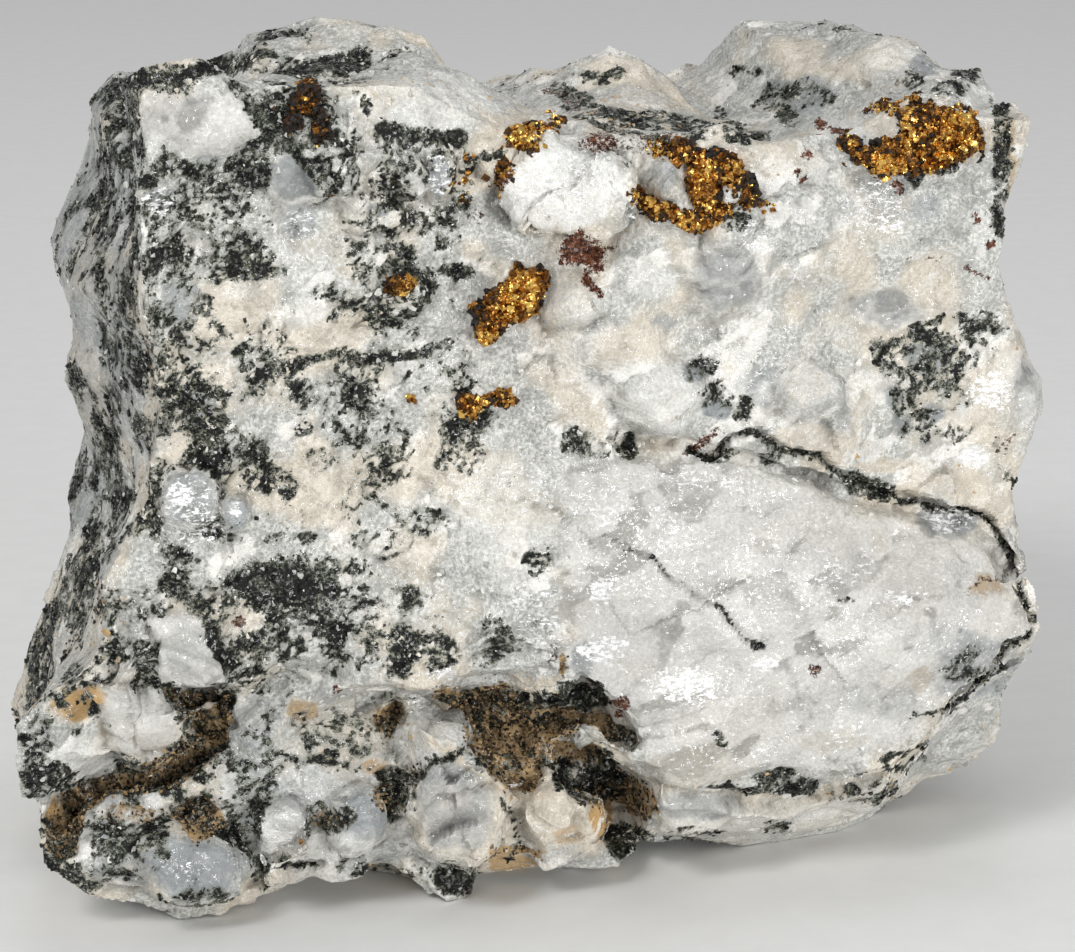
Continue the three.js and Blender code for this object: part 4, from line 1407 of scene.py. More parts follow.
# Lumps and lenses that stand out: where, how far in mm, and how much of the BROKEN relief shows on them.
RISES: tuple[tuple[Patch, float, float], ...] = (
    (Field(WHITE_CRYSTAL, 2.5), 0.8, 0.8),
    (Field(((690, 268), (706, 250), (742, 248), (764, 272), (752, 306), (722, 316), (694, 302)), 14), 0.7, 0.3),
    (Field(BLUE_LENS, 14), 0.7, 0.5),
    (Field(BLUE_LUMP, 14), 0.9, 0.6),
    (Field(((262, 808), (284, 800), (302, 812), (304, 838), (290, 850), (266, 846)), 6), 0.7, 0.8),
    (Field(((330, 800), (362, 788), (388, 802), (386, 830), (362, 842), (334, 836)), 8), 0.5, 0.8),
    (Field(LEFT_LUMP, 6), 0.4, 0.5),
    (Field(((395, 745), (440, 722), (465, 738), (452, 762), (415, 770)), 5), 0.5, 0.8),
    (Field(((520, 800), (560, 790), (600, 800), (590, 850), (540, 860)), 8), 0.2, 0.9),
    (Blob(448, 880, 22, 14), 1.0, 0.4),
    (Blob(443, 172, 12, 30), 0.5, 0.4),
    (Blob(190, 496, 28, 28), 0.4, 0.4),
    (Blob(236, 515, 15, 15), 0.5, 0.4),
    (Blob(808, 390, 27, 26), 0.6, 0.4),
    (Blob(665, 400, 42, 34), 0.5, 0.4),
    (Blob(568, 303, 30, 24), 0.5, 0.5),
    (Blob(732, 193, 11, 10), 0.7, 0.3),
    (Blob(665, 176, 18, 20), 0.5, 0.5),
    (Blob(413, 178, 18, 17), 0.4, 0.5),
    (Blob(377, 216, 28, 17), 0.4, 0.5),
)

# Corners that stand out further than the plain solid: where, how far in mm, and above which height.
SWELLS: tuple[tuple[Patch, tuple[float, float, float], float], ...] = (
    (Field(((96, 40), (226, 40), (222, 130), (150, 150), (96, 150)), 26), (-0.3, 0.0, 2.5), 60),
    (Field(((40, 110), (92, 110), (96, 320), (40, 330)), 20), (-0.9, 0.0, 0.0), 30),
    (Field(((640, 800), (900, 775), (930, 800), (830, 850), (640, 865)), 16), (0.0, -0.4, -1.1), 2),
)


@dataclass(frozen=True)
class Spread:
    """How a mineral lies on the sides that the view grid doesn't reach.

    Attributes:
        noise: where its patches lie.
        start, full: the levels of the noise from which it shows and shows fully.
        most: the most that it covers.
    """

    noise: Noise
    start: float
    full: float
    most: float

    def amount(self, points: Array) -> Array:
        """How much of the mineral each point holds."""
        return smoothstep(self.start, self.full, self.noise.at(points)) * self.most


SPREADS: dict[Mineral, Spread] = {
    Mineral.GREY: Spread(Noise(11, 3, 83), 0.1, 0.45, 0.75),
    Mineral.CREAM: Spread(Noise(9, 3, 84), 0.12, 0.5, 0.7),
    Mineral.RUST: Spread(Noise(3, 3, 85), 0.45, 0.6, 0.6),
    Mineral.CRUST: Spread(Noise(7, 3, 86), 0.42, 0.6, 0.7),
    Mineral.SNOW: Spread(Noise(8, 3, 87), 0.1, 0.5, 0.5),
    Mineral.GLASS: Spread(Noise(7, 2, 90), 0.2, 0.5, 0.6),
    Mineral.GILT: Spread(Noise(4, 3, 89), 0.62, 0.75, 0.3),
}

SIDES = Noise(16.0, 1, 5)  # which habit the sides have
VEINS = Noise(9.0, 4, 81)
VEIN_THINNESS = 4.5
VEIN_MOST = 0.85
CLUMPS = Noise(5.0, 3, 82)  # where the veins are broken
CLUSTERS = Noise(3.0, 4, 88)
DRIFT = Noise(5.5, 3, 91)
FRECKLE_LEFT = 1.25  # share of the freckles at the grid's left edge
FRECKLE_FADE = 520.0  # grid steps over which 1 of that is lost
FRECKLE_RANGE = (0.1, 0.75)
RAGGED = tuple(Noise(2.6, 3, seed) for seed in (71, 72))
BENDS = tuple(Noise(4.0, 3, seed) for seed in (95, 96, 97))
BEND_MM = 1.1

# From where to where a thing comes in.
CLUMPED = (-0.1, 0.35)  # veins, by the clumps' noise
WHOLE_GRAINS = (0.12, 0.5)  # dark silicate that a grain holds or not, by its amount
GROOVE_EDGE = (0.02, 0.13)  # a facet beside its groove, in mm over the next facet
RIM = (0.0, 0.45)  # relief beside the rim, by how squarely the surface looks at the viewpoint
AWAY = (-0.3, -0.15)  # triangles that are all kept, by the same
CREVICE_SHADE_DEPTHS = (0.03, 0.32)  # hollows that get painted crevice shade, in mm under the smooth form
SWELL_ZONE = 4.0  # a swell, in mm to each side of its floor

# Rounds of smoothing that show what is a hollow, for the painted crevice shade, and what looks away.
CREVICE_SHADE_ROUNDS = 24
AWAY_ROUNDS = 3

# Stretch and turn the points so that the dark veins run along the rock's own layering.
VEIN_STRETCH = np.array([0.35, 0.35, 1.0])
LAYERING = np.array([[1, 0, 0.25], [0, 1, 0.1], [-0.25, -0.1, 1.0]]).T


@dataclass
class QuartzBlock:
    """The whole rock but its sulphide: shape, what each stretch is made of, and finish.

    Attributes:
        voxel, filling_voxel: how finely the solid and its pockets' fillings are cut up, in mm.
        rounding_rounds: how often the steps of the voxels are smoothed.
        flat_zone: height in mm over which the relief fades out above the base.
        settle: where the mean surface lies, in mm over the solid's.
        hidden_kept: share of the triangles that is kept where the surface looks away.
        closing: how far a mass is grown in mm, so that the rock closes over its pocket.
        proud, excess: how far in mm the relief may pass the solid's box, and the share left of more.
        restored: how much of an edge that the smoothing took is put back.
        ragged_steps: how far the noise pushes the patches' edges about, in grid steps.
        facing: where a surface starts to look at the viewpoint and where it fully does.
        tall, tall_share: relief above this many mm is pressed down to this share.
        rim_calm: share of the relief that is lost where the surface turns away.
        edge_turn, edge_calm: how far an edge stands off the smooth form, and the share lost there.
        sharp_degrees: a crease steeper than this is shaded as an edge.
    """

    view: View
    finish: MilkyQuartz = MilkyQuartz()
    voxel: float = 0.27
    filling_voxel: float = 0.5
    piece_triangles: int = 195_000
    pieces: int = 2
    rounding_rounds: int = 16
    flat_zone: float = 0.9
    settle: float = -0.08
    hidden_kept: float = 0.16
    closing: float = 0.45
    proud: float = 0.4
    excess: float = 0.2
    restored: float = 0.9
    ragged_steps: float = 11.0
    facing: tuple[float, float] = (-0.02, 0.16)
    tall: float = 0.4
    tall_share: float = 0.45
    rim_calm: float = 0.6
    edge_turn: tuple[float, float] = (0.45, 1.1)
    edge_calm: float = 0.55
    sharp_degrees: float = 30.0
    surface: Surface = field(init=False)
    shown: dict[Mineral, Array] = field(init=False)
    broken: dict[Habit, Array] = field(init=False)

    def grid(self, points: Array) -> Array:
        """Grid places, pushed about by noise so that no patch has a smooth edge.

        Args:
            points: (N, 3) in mm.

        Returns:
            (N, 2) grid places.
        """
        grid = self.view.grid(points)
        for axis, noise in enumerate(RAGGED):
            grid[:, axis] += noise.at(points) * self.ragged_steps
        return grid

    def seen(self, points: Array, normals: Array) -> Array:
        """1 where the surface looks at the viewpoint, 0 where it looks away."""
        return smoothstep(*self.facing, self.view.faces(points, normals))

    def habits(self, points: Array, normals: Array) -> dict[Habit, Array]:
        """Shares of the five habits at each point, adding up to 1.

        Args:
            points: (N, 3) in mm.
            normals: unit normals there.

        Returns:
            The shares by habit.
        """
        grid, seen = self.grid(points), self.seen(points, normals)
        shares: dict[Habit, Array] = {}
        left = np.ones(len(points))
        for habit, patches in HABITS.items():
            shares[habit] = np.minimum(strongest(patches, grid) * seen, left)
            left = left - shares[habit]
        swell = SIDES.at(points)
        hidden = (1.0 - seen) * left
        for habit, full in ((Habit.ANGULAR, 0.4), (Habit.FOLIATED, -0.4)):
            share = smoothstep(0.0, full, swell)
            shares[habit] = shares[habit] + hidden * share
            left = left - hidden * share
        shares[Habit.GRANULAR] = left
        return shares

    def minerals(self, points: Array, normals: Array) -> dict[Mineral, Array]:
        """How much of each mineral the surface shows at each point, from 0 to 1.

        Args:
            points: (N, 3) in mm.
            normals: unit normals there.

        Returns:
            The amounts by mineral.
        """
        grid, seen = self.grid(points), self.seen(points, normals)
        hidden = 1.0 - seen
        veins = 1.0 - np.abs(VEINS.at(points * VEIN_STRETCH @ LAYERING)) * VEIN_THINNESS
        clumps = smoothstep(*CLUMPED, CLUMPS.at(points))
        generic = {Mineral.DARK: np.clip(veins, 0, 1) * clumps * VEIN_MOST}
        generic.update({mineral: spread.amount(points) for mineral, spread in SPREADS.items()})
        amounts = {m: strongest(MINERALS[m], grid) * seen + generic[m] * hidden for m in generic}
        amounts[Mineral.DARK] = self.freckled(points, grid, seen, amounts)
        return amounts

    def freckled(self, points: Array, grid: Array, seen: Array, amounts: dict[Mineral, Array]) -> Array:
        """Breaks the dark silicate into clusters, and freckles the left of the face with more of it.

        Args:
            points: (N, 3) in mm.
            grid: their grid places.
            seen: 1 where the surface looks at the viewpoint.
            amounts: the minerals so far.

        Returns:
            The dark silicate's amount.
        """
        left = np.clip(FRECKLE_LEFT - grid[:, 0] / FRECKLE_FADE, 0.0, 1.0) * seen
        clusters = CLUSTERS.at(points)
        freckles = np.clip(0.36 + 1.3 * clusters, *FRECKLE_RANGE) * left
        named = amounts[Mineral.DARK] * (1.0 + 0.9 * clusters)
        calm = strongest(HABITS[Habit.MASSIVE], grid)
        clean = (1 - calm) * (1 - 1.1 * amounts[Mineral.SNOW]).clip(0, 1)
        return np.clip(np.maximum(named, freckles * clean), 0.0, 1.0)

    def by_grain(self, dark: Array, small: Array, groove: Array) -> Array:
        """The dark silicate's amount where whole grains hold it or not, and the grooves hold most."""
        uneven = 0.4 * (small - 0.5) + 0.75 * (groove - 0.22)
        return np.clip(dark + smoothstep(*WHOLE_GRAINS, dark) * uneven, 0.0, 1.0)

    def bent(self, points: Array) -> Array:
        """The points pushed about a little, so that crystal edges read from them aren't straight."""
        return points + BEND_MM * np.stack([noise.at(points) for noise in BENDS], axis=1)

    def grain_numbers(self, points: Array, shares: dict[Habit, Array]) -> tuple[Array, Array, Array]:
        """Reads the grains that the relief is broken into.

        Args:
            points: (N, 3) in mm.
            shares: share of each habit at the points.

        Returns:
            Each coarse and each small grain's own number from 0 to 1, and 1 in the grooves between them.
        """
        numbers, bent = np.zeros((3, len(points))), self.bent(points)
        main = np.argmax([shares[habit] for habit in shares], axis=0)
        for row, habit in enumerate(shares):
            here = main == row
            for place, relief in enumerate(RELIEFS[habit][1:]):
                _, numbers[place, here], gap = relief.facets.crowd(bent[here])
                groove = (1.0, 0.6)[place] * (1.0 - smoothstep(*GROOVE_EDGE, gap))
                numbers[2, here] = np.maximum(numbers[2, here], groove)
        return numbers[0], numbers[1], numbers[2]

    def drift(self, points: Array) -> Array:
        """A slow change of tone over the rock, from 0 to 1."""
        return np.clip(0.5 + 0.9 * DRIFT.at(points), 0.0, 1.0)

    def solid(self, plain: Surface, masses: Sequence[Node]) -> Surface:
        """The plain solid cut up into voxels, with its pockets filled.

        Args:
            plain: the CAD node's surface.
            masses: the CAD nodes in its pockets, which are left alone.

        Returns:
            The surface, in small steps.
        """
        solids = [plain]
        for mass in masses:
            coarse = welded(Surface.of_mesh(mass.data))
            filling = coarse.modified("REMESH", mode="VOXEL", voxel_size=self.filling_voxel * MM)
            solids.append(Surface(filling.points + filling.normals() * self.closing, filling.faces))
        return joined(solids).modified("REMESH", mode="VOXEL", voxel_size=self.voxel * MM)

    def relief(self, points: Array, bent: Array, wide: Array) -> Array:
        """The habits' relief.

        Args:
            points: (N, 3) in mm.
            bent: the same, pushed about.
            wide: the smooth normals there.

        Returns:
            The height in mm.
        """
        push = np.zeros(len(points))
        for habit, share in self.habits(points, wide).items():
            touched = share > 0.001
            height = sum(layer.share * layer.facets.height(bent[touched]) for layer in RELIEFS[habit])
            push[touched] += share[touched] * height
        rim = 1.0 - smoothstep(*RIM, np.abs(self.view.faces(points, wide)))
        push = np.where(push > self.tall, self.tall + self.tall_share * (push - self.tall), push)
        return np.where(push > 0.0, push * (1.0 - self.rim_calm * rim), push)

    def featured(self, push: Array, points: Array, bent: Array, wide: Array) -> Array:
        """Adds the clefts, the lumps and the pitted crust to the relief.

        Args:
            push: the height so far, in mm.
            points: (N, 3) in mm.
            bent: the same, pushed about.
            wide: the smooth normals there.

        Returns:
            The new height in mm.
        """
        grid, seen = self.grid(points), self.seen(points, wide)
        for crack, depth in CRACKS:
            push -= strongest([crack], grid) * seen * depth
        broken = BROKEN.height(bent)
        for patch, height, share in RISES:
            push += strongest([patch], grid) * seen * (height + share * broken)
        crust = strongest(MINERALS[Mineral.CRUST], grid) * seen
        return push + crust * (PITS.height(points) * 0.9 - 0.5)

    def swollen(self, points: Array, moved: Array) -> Array:
        """Moves the corners that stand out.

        Args:
            points: (N, 3) places before the relief, in mm.
            moved: the same with the relief.

        Returns:
            The new places.
        """
        for patch, way, floor in SWELLS:
            above = smoothstep(floor - SWELL_ZONE, floor + SWELL_ZONE, points[:, 2])
            moved = moved + (strongest([patch], self.view.grid(points)) * above)[:, None] * np.array(way)
        return moved

    def shape(self, source: Node, masses: Sequence[Node]) -> Surface:
        """Refines the source solid, closes its pockets over and breaks its surface up.

        Args:
            source: the CAD node, which is left alone.
            masses: the CAD nodes in its pockets, which are left alone too.

        Returns:
            The refined surface, in mm.
        """
        plain = welded(Surface.of_mesh(source.data))
        low, high = plain.points.min(axis=0) - self.proud, plain.points.max(axis=0) + self.proud
        stepped = self.solid(plain, masses)
        fine = stepped.smoothed(self.rounding_rounds)
        wide = fine.smoothed(2 * self.rounding_rounds).normals()
        bent = self.bent(fine.points)
        lost = ((stepped.points - fine.points) * wide).sum(axis=1)
        push = self.relief(fine.points, bent, wide) + self.restored * np.maximum(lost, 0.0)
        push = self.featured(push, fine.points, bent, wide)
        push += self.settle - push.mean()
        turned = np.linalg.norm(fine.smoothed(4 * self.rounding_rounds).points - fine.points, axis=1)
        push *= 1.0 - self.edge_calm * smoothstep(*self.edge_turn, turned)
        push *= smoothstep(0.0, self.flat_zone, fine.points[:, 2])
        fine.points = self.swollen(fine.points, fine.points + wide * push[:, None])
        inside = np.clip(fine.points, low, high)
        fine.points = inside + self.excess * (fine.points - inside)
        fine.points[:, 2] = np.maximum(fine.points[:, 2], 0.0)
        fine = self.thinned(fine, wide)
        fine.points[:, 2] = np.maximum(fine.points[:, 2], 0.0)
        return fine

    def thinned(self, fine: Surface, wide: Array) -> Surface:
        """Brings the triangles under the limit, first where the surface looks away.

        Args:
            fine: the broken surface.
            wide: its smooth normals.

        Returns:
            The same shape with fewer triangles.
        """
        near = fine.smoothed(AWAY_ROUNDS).normals()
        looks = np.maximum(*(self.view.faces(fine.points, normals) for normals in (wide, near)))
        away = 1.0 - smoothstep(*AWAY, looks)
        hidden = away[fine.faces].mean(axis=1).sum()
        ratio = 1.0 - hidden * (1.0 - self.hidden_kept) / len(fine.faces)
        fine = fine.modified("DECIMATE", weights=away, ratio=ratio)
        return fine.modified("DECIMATE", ratio=min(1.0, self.pieces * self.piece_triangles / len(fine.faces)))

    def numbers(self) -> dict[str, Array]:
        """Reads the minerals and habits of the surface, and gives the numbers that the finish needs.

        Returns:
            The numbers at the surface's points, by name.
        """
        points, normals = self.surface.points, self.surface.normals()
        self.shown, self.broken = self.minerals(points, normals), self.habits(points, normals)
        grain, crumb, groove = self.grain_numbers(points, self.broken)
        self.shown[Mineral.DARK] = self.by_grain(self.shown[Mineral.DARK], crumb, groove)
        depth = ((self.surface.smoothed(CREVICE_SHADE_ROUNDS).points - points) * normals).sum(axis=1)
        return {
            # painted crevice shade: how deep each point lies in a hollow
            "hollow": smoothstep(*CREVICE_SHADE_DEPTHS, depth),
            "grain": grain,
            "crumb": crumb,
            "drift": self.drift(points),
            "calm": self.broken[Habit.MASSIVE],
            "tone": 0.35 * grain + 0.65 * crumb - 0.35 * groove,
            **{mineral.value: amount for mineral, amount in self.shown.items()},
        }

    def build(self, source: Node, masses: Sequence[Node]) -> Iterable[Node]:
        """Makes the rock's pieces in place of its CAD node, side by side along the rock.

        Args:
            source: the CAD node that they stand for.
            masses: the CAD nodes in its pockets.

        Yields:
            The pieces.
        """
        self.surface = self.shape(source, masses)
        points, values = self.surface.points, self.numbers()
        material = self.finish.make()
        along = self.grid(points)[self.surface.faces, 0].mean(axis=1)
        cuts = np.searchsorted(np.quantile(along, np.arange(1, self.pieces) / self.pieces), along)
        for number in range(self.pieces):
            used, corners = np.unique(self.surface.faces[cuts == number], return_inverse=True)
            share = Surface(points[used], corners.reshape(-1, 3))
            kept = {name: numbers[used] for name, numbers in values.items()}
            piece = make_object(f"quartz_rock_{number + 1}", share, material, kept, smooth=True)
            piece.data.set_sharp_from_angle(angle=math.radians(self.sharp_degrees))
            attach(piece, BODY)
            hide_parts(source.name)
            yield piece


def welded(surface: Surface) -> Surface:
    """Joins corners that share a place.

    Args:
        surface: triangles that may each have corners of their own.

    Returns:
        The same triangles with shared corners.
    """
    keys = np.round(surface.points * WELD_STEPS).astype(np.int64)
    _, first, inverse = np.unique(keys, axis=0, return_index=True, return_inverse=True)
    return Surface(surface.points[first], inverse.reshape(-1)[surface.faces])


# ---------------- grains

# Shapes of a grain that is about 1 wide.
BLOCK_HALF = 0.36
BLOCK_JITTER = 0.15
STONE_CORNERS = 10
STONE_RADII = (0.4, 0.55)
STRETCH = (0.75, 1.3)
HALF_HEIGHT = 0.7

Grains = tuple[Surface, Array]


@dataclass(frozen=True)
class Chips:
    """Broken crystal grains with flat faces, to be set half sunk into a surface.

    Attributes:
        low, high: smallest and largest width in mm.
        sunk: how much of a grain's half height lies under the surface.
        squat: how flat a grain lies, 1 for as tall as wide.
        blocky: jittered blocks instead of rounder stones.
        kinds: how many different grains there are.
        rarity: how much rarer the large ones are.
    """

    low: float
    high: float
    sunk: float = 0.45
    squat: float = 0.8
    blocky: bool = True
    kinds: int = 10
    rarity: float = 1.6

    def patterns(self, draw: np.random.Generator) -> list[Surface]:
        """Makes the different grains, each about 1 wide.

        Args:
            draw: the random draws.

        Returns:
            One surface for each kind.
        """
        made = []
        for _ in range(self.kinds):
            if self.blocky:
                corners = np.array([(x, y, z) for x in (-1, 1) for y in (-1, 1) for z in (-1, 1)], float)
                corners = corners * BLOCK_HALF + draw.uniform(-BLOCK_JITTER, BLOCK_JITTER, (8, 3))
            else:
                corners = draw.normal(size=(STONE_CORNERS, 3))
                radii = draw.uniform(*STONE_RADII, STONE_CORNERS)
                corners *= (radii / np.linalg.norm(corners, axis=1))[:, None]
            made.append(hull(corners))
        return made

    def widths(self, count: int, draw: np.random.Generator) -> Array:
        """Draws the grains' widths in mm."""
        return self.low * (self.high / self.low) ** (draw.uniform(size=count) ** self.rarity)

    def set_in(self, places: Array, normals: Array, sizes: Array, draw: np.random.Generator) -> Grains:
        """Sets one grain at each place.

        Args:
            places: (N, 3) points of the surface.
            normals: (N, 3) unit normals there.
            sizes: (N,) widths in mm.
            draw: the random draws.

        Returns:
            All the grains as one surface, and each point's grain number.
        """
        kinds = draw.integers(0, self.kinds, len(places))
        spin = turns(draw.normal(size=(len(places), 4)))
        stretch = draw.uniform(*STRETCH, (len(places), 3))
        points, faces, owners, count = [], [], [], 0
        for kind, pattern in enumerate(self.patterns(draw)):
            chosen = np.flatnonzero(kinds == kind)
            local = pattern.points[None] * stretch[chosen][:, None]
            local = np.einsum("nij,nkj->nki", spin[chosen], local) * sizes[chosen][:, None, None]
            up = normals[chosen]
            rise = np.einsum("nki,ni->nk", local, up)[..., None] * up[:, None]
            local = local - rise * (1.0 - self.squat)
            sink = (0.5 - self.sunk) * HALF_HEIGHT * sizes[chosen] * self.squat
            world = local + (places[chosen] + up * sink[:, None])[:, None]
            corners = len(pattern.points)
            offsets = count + np.arange(len(chosen)) * corners
            points.append(world.reshape(-1, 3))
            faces.append((pattern.faces[None] + offsets[:, None, None]).reshape(-1, 3))
            owners.append(np.repeat(chosen, corners))
            count += len(chosen) * corners
        return Surface(np.concatenate(points), np.concatenate(faces)), np.concatenate(owners)


def hull(corners: Array) -> Surface:
    """The closed convex stone through the corners, faces out.

    Args:
        corners: (N, 3) points.

    Returns:
        Its surface.
    """
    work = bmesh.new()
    for corner in corners:
        work.verts.new(corner)
    made = bmesh.ops.convex_hull(work, input=work.verts)
    loose = {v for v in made["geom_interior"] + made["geom_unused"] if isinstance(v, bmesh.types.BMVert)}
    bmesh.ops.delete(work, geom=list(loose), context="VERTS")
    bmesh.ops.triangulate(work, faces=work.faces)
    bmesh.ops.recalc_face_normals(work, faces=work.faces)
    work.verts.index_update()
    points = np.array([v.co[:] for v in work.verts])
    faces = np.array([[v.index for v in f.verts] for f in work.faces])
    work.free()
    return Surface(points, faces)


def turns(quaternions: Array) -> Array:
    """Rotation matrices of (N, 4) quaternions of any length.

    Args:
        quaternions: (N, 4) numbers.

    Returns:
        (N, 3, 3) matrices.
    """
    w, x, y, z = (quaternions / np.linalg.norm(quaternions, axis=1)[:, None]).T
    rows = [
        [1 - 2 * (y * y + z * z), 2 * (x * y - z * w), 2 * (x * z + y * w)],
        [2 * (x * y + z * w), 1 - 2 * (x * x + z * z), 2 * (y * z - x * w)],
        [2 * (x * z - y * w), 2 * (y * z + x * w), 1 - 2 * (x * x + y * y)],
    ]
    return np.array(rows).transpose(2, 0, 1)


def scattered(surface: Surface, weight: Array, count: int, draw: np.random.Generator) -> tuple[Array, Array]:
    """Draws places on a surface.

    Args:
        surface: the surface.
        weight: (N,) how densely places lie, at the surface's points.
        count: how many to draw.
        draw: the random draws.

    Returns:
        The places and the unit normals there.
    """
    vectors = surface.face_vectors()
    areas = np.linalg.norm(vectors, axis=1)
    chance = np.cumsum(areas * weight[surface.faces].mean(axis=1))
    chosen = np.searchsorted(chance, draw.uniform(0, chance[-1], count))
    chosen = np.minimum(chosen, len(areas) - 1)
    a, b = draw.uniform(size=(2, count))
    flip = a + b > 1
    a, b = np.where(flip, 1 - a, a), np.where(flip, 1 - b, b)
    p, q, r = (surface.points[surface.faces[chosen, i]] for i in range(3))
    return p + (q - p) * a[:, None] + (r - p) * b[:, None], vectors[chosen] / areas[chosen][:, None]


def joined(parts: Sequence[Surface]) -> Surface:
    """Several surfaces as one.

    Args:
        parts: the surfaces.

    Returns:
        One surface with all their triangles.
    """
    starts = np.cumsum([0, *(len(p.points) for p in parts[:-1])])
    faces = np.concatenate([p.faces + n for p, n in zip(parts, starts)])
    return Surface(np.concatenate([p.points for p in parts]), faces)


@dataclass
class GrainLayer:
    """Thousands of grains of one kind on the rock, as one piece.

    Attributes:
        held: how much of its mineral a grain holds, from and to.
        crumb_most: the highest small-grain number, which keeps the grains from the brightest white.
    """

    name: str
    rock: QuartzBlock
    chips: Chips
    count: int
    seed: int
    slot: str = "milky_quartz"
    held: tuple[float, float] = (0.75, 1.0)
    crumb_most: float = 0.75

    def build(self, weight: Array, material: Material, only: Mineral | None = None) -> Node:
        """Scatters and dresses the grains.

        Args:
            weight: how densely they lie, at the rock's points.
            material: their finish.
            only: the one mineral they are, or None to take what the rock shows there.

        Returns:
            The piece.
        """
        draw = np.random.default_rng(self.seed)
        places, normals = scattered(self.rock.surface, weight, self.count, draw)
        surface, owner = self.chips.set_in(places, normals, self.chips.widths(self.count, draw), draw)
        values = {}
        for mineral, amount in self.rock.minerals(places, normals).items():
            shown = amount * (mineral is not Mineral.DARK)
            chance = np.full(self.count, float(mineral == only)) if only else shown
            picked = draw.uniform(size=self.count) < chance
            values[mineral.value] = (picked * draw.uniform(*self.held, self.count))[owner]
        values["tone"] = draw.uniform(size=self.count)[owner]
        values["drift"] = self.rock.drift(places)[owner]
        own = draw.uniform(size=(2, self.count)) * [[1.0], [self.crumb_most]]
        values["grain"], values["crumb"] = own[:, owner]
        values["calm"] = values["hollow"] = np.zeros(len(owner))
        surface.points[:, 2] = np.maximum(surface.points[:, 2], 0.0)
        piece = make_object(self.name, surface, material, values)
        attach(piece, BODY)
        return piece


@dataclass
class SulphideMass:
    """One mass of chalcopyrite: a rough bed in its CAD node's place, packed with grains.

    Attributes:
        richness: how bright the grains are, from tarnished at 0 to golden at 1.
        grains_per_mm2: how closely they lie.
        swell, sunk: how far in mm the bed stands out where chalcopyrite shows, and lies under elsewhere.
        gilded: amounts of chalcopyrite between which the bed rises from one to the other.
        voxel: how finely the bed is cut up, in mm.
        roughness: share of the bed's own relief that shows.
    """

    node: Node
    richness: float
    seed: int
    rock: QuartzBlock
    metal: Material
    chips: Chips = Chips(0.2, 0.75, 0.3, 0.95, rarity=1.5)
    grains_per_mm2: float = 5.0
    swell: float = 0.55
    sunk: float = -0.5
    voxel: float = 0.25
    gilded: tuple[float, float] = (0.2, 0.6)
    roughness: float = 0.6

    def bed(self) -> Surface:
        """The node's own shape, cut up finely."""
        plain = welded(Surface.of_mesh(self.node.data))
        return plain.modified("REMESH", mode="VOXEL", voxel_size=self.voxel * MM)

    def build(self) -> Node:
        """Makes the piece that stands for the node.

        Returns:
            The piece.
        """
        draw = np.random.default_rng(self.seed)
        bed = self.bed()
        normals = bed.normals()
        rough = Facets(1.0, 0.6, 0.6, 0.5, seed=self.seed).height(bed.points) * self.roughness
        gilt = strongest(MINERALS[Mineral.GILT], self.rock.grid(bed.points))
        out = self.sunk + (self.swell - self.sunk) * smoothstep(*self.gilded, gilt)
        bed.points = bed.points + normals * (rough + out)[:, None]
        area = np.linalg.norm(bed.face_vectors(), axis=1).sum() / 2
        outward = smoothstep(-0.5, 0.3, -normals[:, 1] + normals[:, 2] * 0.5)
        count = int(area * self.grains_per_mm2)
        places, lean = scattered(bed, outward * gilt**2 + 1e-6, count, draw)
        grains, owner = self.chips.set_in(places, lean, self.chips.widths(count, draw), draw)
        here = strongest(MINERALS[Mineral.GILT], self.rock.grid(places))
        here = here + Noise(1.8, 2, self.seed).at(places) * 1.3
        tone = np.clip(draw.uniform(size=count) * 0.8 + here * 0.5 + self.richness - 0.72, 0, 1)
        under = 0.16 + 0.4 * gilt * self.richness + 0.9 * Noise(1.1, 3, self.seed + 50).at(bed.points)
        values = {"tone": np.concatenate([np.clip(under, 0.05, 0.75), tone[owner]])}
        piece = make_object(f"{self.node.name}_grains", joined([bed, grains]), self.metal, values)
        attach(piece, BODY)
        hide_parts(self.node.name)
        return piece


# ---------------- the studio


@dataclass(frozen=True)
class Lamp:
    """A square soft light: its name, its place and width in metres, and its power in watts."""

    name: str
    place: tuple[float, float, float]
    width: float
    power: float


LAMPS = (
    Lamp("key", (-0.42, -0.55, 0.62), 0.22, 2.75),
    Lamp("front", (0.25, -0.95, 0.12), 0.18, 1.9),
    Lamp("top", (0.05, 0.12, 0.9), 0.4, 0.9),
    Lamp("low", (0.42, -0.75, 0.04), 0.3, 2.5),
)


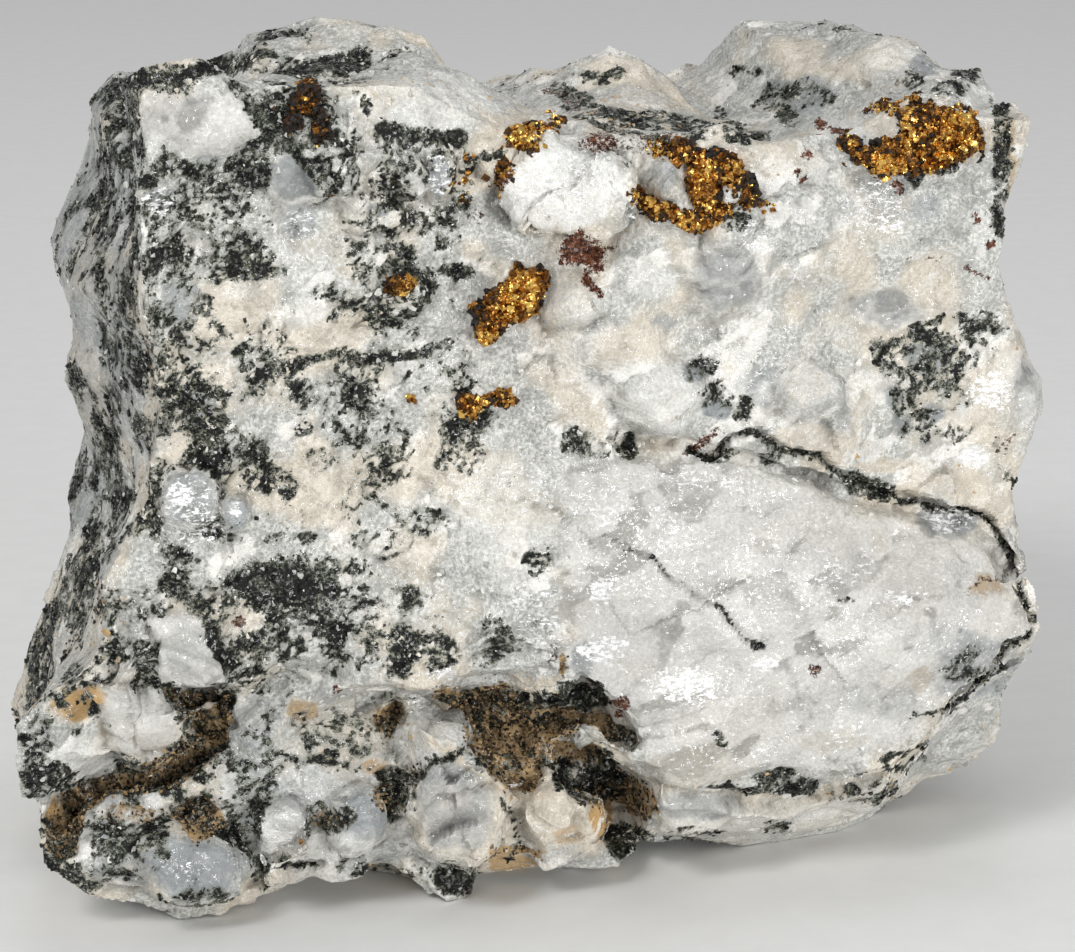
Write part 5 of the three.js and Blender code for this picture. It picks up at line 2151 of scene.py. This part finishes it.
@dataclass
class Studio:
    """A plain pale floor under soft light."""

    view: View
    floor_half: float = 1.5  # in metres
    floor_colours: tuple[str, str] = ("#f2f2f0", "#fbfbfa")
    sky_colour: str = "#f6f7f8"
    sky_strength: float = 0.45
    aim: tuple[float, float, float] = (0, 0, 0.037)

    def build(self) -> None:
        """Makes the floor, the lights, the sky and the camera."""
        self.floor()
        for lamp in LAMPS:
            self.light(lamp)
        world = bpy.data.worlds.new("sky")
        world.use_nodes = True
        sky = world.node_tree.nodes["Background"].inputs
        sky["Color"].default_value, sky["Strength"].default_value = linear(self.sky_colour), self.sky_strength
        bpy.context.scene.world = world
        bpy.context.scene.view_settings.view_transform = "Standard"
        self.view.camera()

    def floor(self) -> None:
        """A matt floor, far wider than the specimen."""
        half = self.floor_half / MM
        corners = np.array([(-half, -half, 0), (half, -half, 0), (half, half, 0), (-half, half, 0)], float)
        r = Recipe("matt_paper")
        speckle = r.add(Step.NOISE, r.place, per_mm(4.0), 3.0, 0.6)
        paper = r.finish(r.add(Step.MIX, speckle, *self.floor_colours), 0.9)
        floor = make_object("floor", Surface(corners, np.array([(0, 1, 2), (0, 2, 3)])), paper)

    def light(self, lamp: Lamp) -> None:
        """Hangs one lamp so that it looks at the specimen's middle.

        Args:
            lamp: the lamp.
        """
        data = bpy.data.lights.new(lamp.name, "AREA")
        data.size, data.energy = lamp.width, lamp.power
        hung = bpy.data.objects.new(lamp.name, data)
        bpy.context.scene.collection.objects.link(hung)
        hung.location = lamp.place
        ahead = np.array(self.aim) - np.array(lamp.place)
        hung.rotation_euler = Vector(ahead).to_track_quat("-Z", "Y").to_euler()


# ---------------- everything in order


def write_sizes() -> None:
    """Updates the scene's view layer."""
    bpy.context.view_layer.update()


# How closely loose-looking quartz grains lie on each habit.
SUGAR: dict[Habit, float] = {
    Habit.GRANULAR: 1, Habit.FOLIATED: 0.6, Habit.LUMPY: 0.5, Habit.ANGULAR: 0.25, Habit.MASSIVE: 0.02,
}
OFF_BASE = (0.3, 1.2)  # heights in mm between which the grains come in
DARK_GRAINS = (0.45, 0.95)  # and the amounts of dark silicate between which its grains do

# How bright the grains of each chalcopyrite mass are.
RICHNESS: dict[str, float] = {
    "chalcopyrite_upper_right": 0.5,
    "chalcopyrite_beside_crystal": 0.55,
    "chalcopyrite_middle": 0.5,
    "chalcopyrite_above_crystal": 0.5,
    "chalcopyrite_small": 0.4,
    "chalcopyrite_upper_left": 0.0,
    "chalcopyrite_dark_ring": 0.25,
}


def report(piece: Node) -> None:
    """Says what was made."""
    LOG.info("%s: %d triangles", piece.name, len(piece.data.polygons))


def grain_layers(rock: QuartzBlock, metal: Material) -> Iterable[Node]:
    """Builds the rock's grains, one piece after another.

    Args:
        rock: the finished rock.
        metal: the chalcopyrite's finish.

    Yields:
        The pieces.
    """
    points, habits, minerals = rock.surface.points, rock.broken, rock.shown
    off_base = smoothstep(*OFF_BASE, points[:, 2])
    seen = 0.35 + 0.65 * rock.seen(points, rock.surface.normals())
    crystal = bpy.data.materials["milky_vein_quartz"]
    sugar = sum(habits[habit] * share for habit, share in SUGAR.items())
    sugar = sugar * (1 - minerals[Mineral.CRUST] * 0.8)
    dark = smoothstep(*DARK_GRAINS, minerals[Mineral.DARK])
    crust = minerals[Mineral.CRUST] ** 1.5
    gilt = np.clip(minerals[Mineral.GILT], 0.0, 1.0) ** 2
    stones, blocks = Chips(0.25, 0.95, 0.6, 0.6, False), Chips(0.15, 0.5, 0.45, 0.8)
    earth, brassy = Chips(0.2, 0.55, 0.35, 0.8, False), Chips(0.2, 0.55, 0.3, 0.9)
    for layer, weight, finish, only in (
        (GrainLayer("quartz_grains", rock, stones, 7000, 201), sugar, crystal, None),
        (GrainLayer("dark_silicate_grains", rock, blocks, 12000, 203), dark, crystal, Mineral.DARK),
        (GrainLayer("iron_crust_grains", rock, earth, 6000, 204), crust, crystal, Mineral.CRUST),
        (GrainLayer("chalcopyrite_specks", rock, brassy, 4500, 205, "chalcopyrite"), gilt, metal, Mineral.GILT),
    ):
        yield layer.build(weight * off_base * seen, finish, only)


def main() -> None:
    """Builds the specimen and its studio."""
    logging.basicConfig(level=logging.INFO, format="%(relativeCreated)d %(name)s: %(message)s")
    view = View()
    rock = QuartzBlock(view)
    for piece in rock.build(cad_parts["quartz_block"], [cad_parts[name] for name in RICHNESS]):
        report(piece)
    metal = Chalcopyrite().make()
    for layer in grain_layers(rock, metal):
        report(layer)
    for seed, (name, richness) in enumerate(RICHNESS.items()):
        report(SulphideMass(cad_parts[name], richness, 300 + seed, rock, metal).build())
    Studio(view).build()
    write_sizes()


if __name__ == "__main__":
    main()
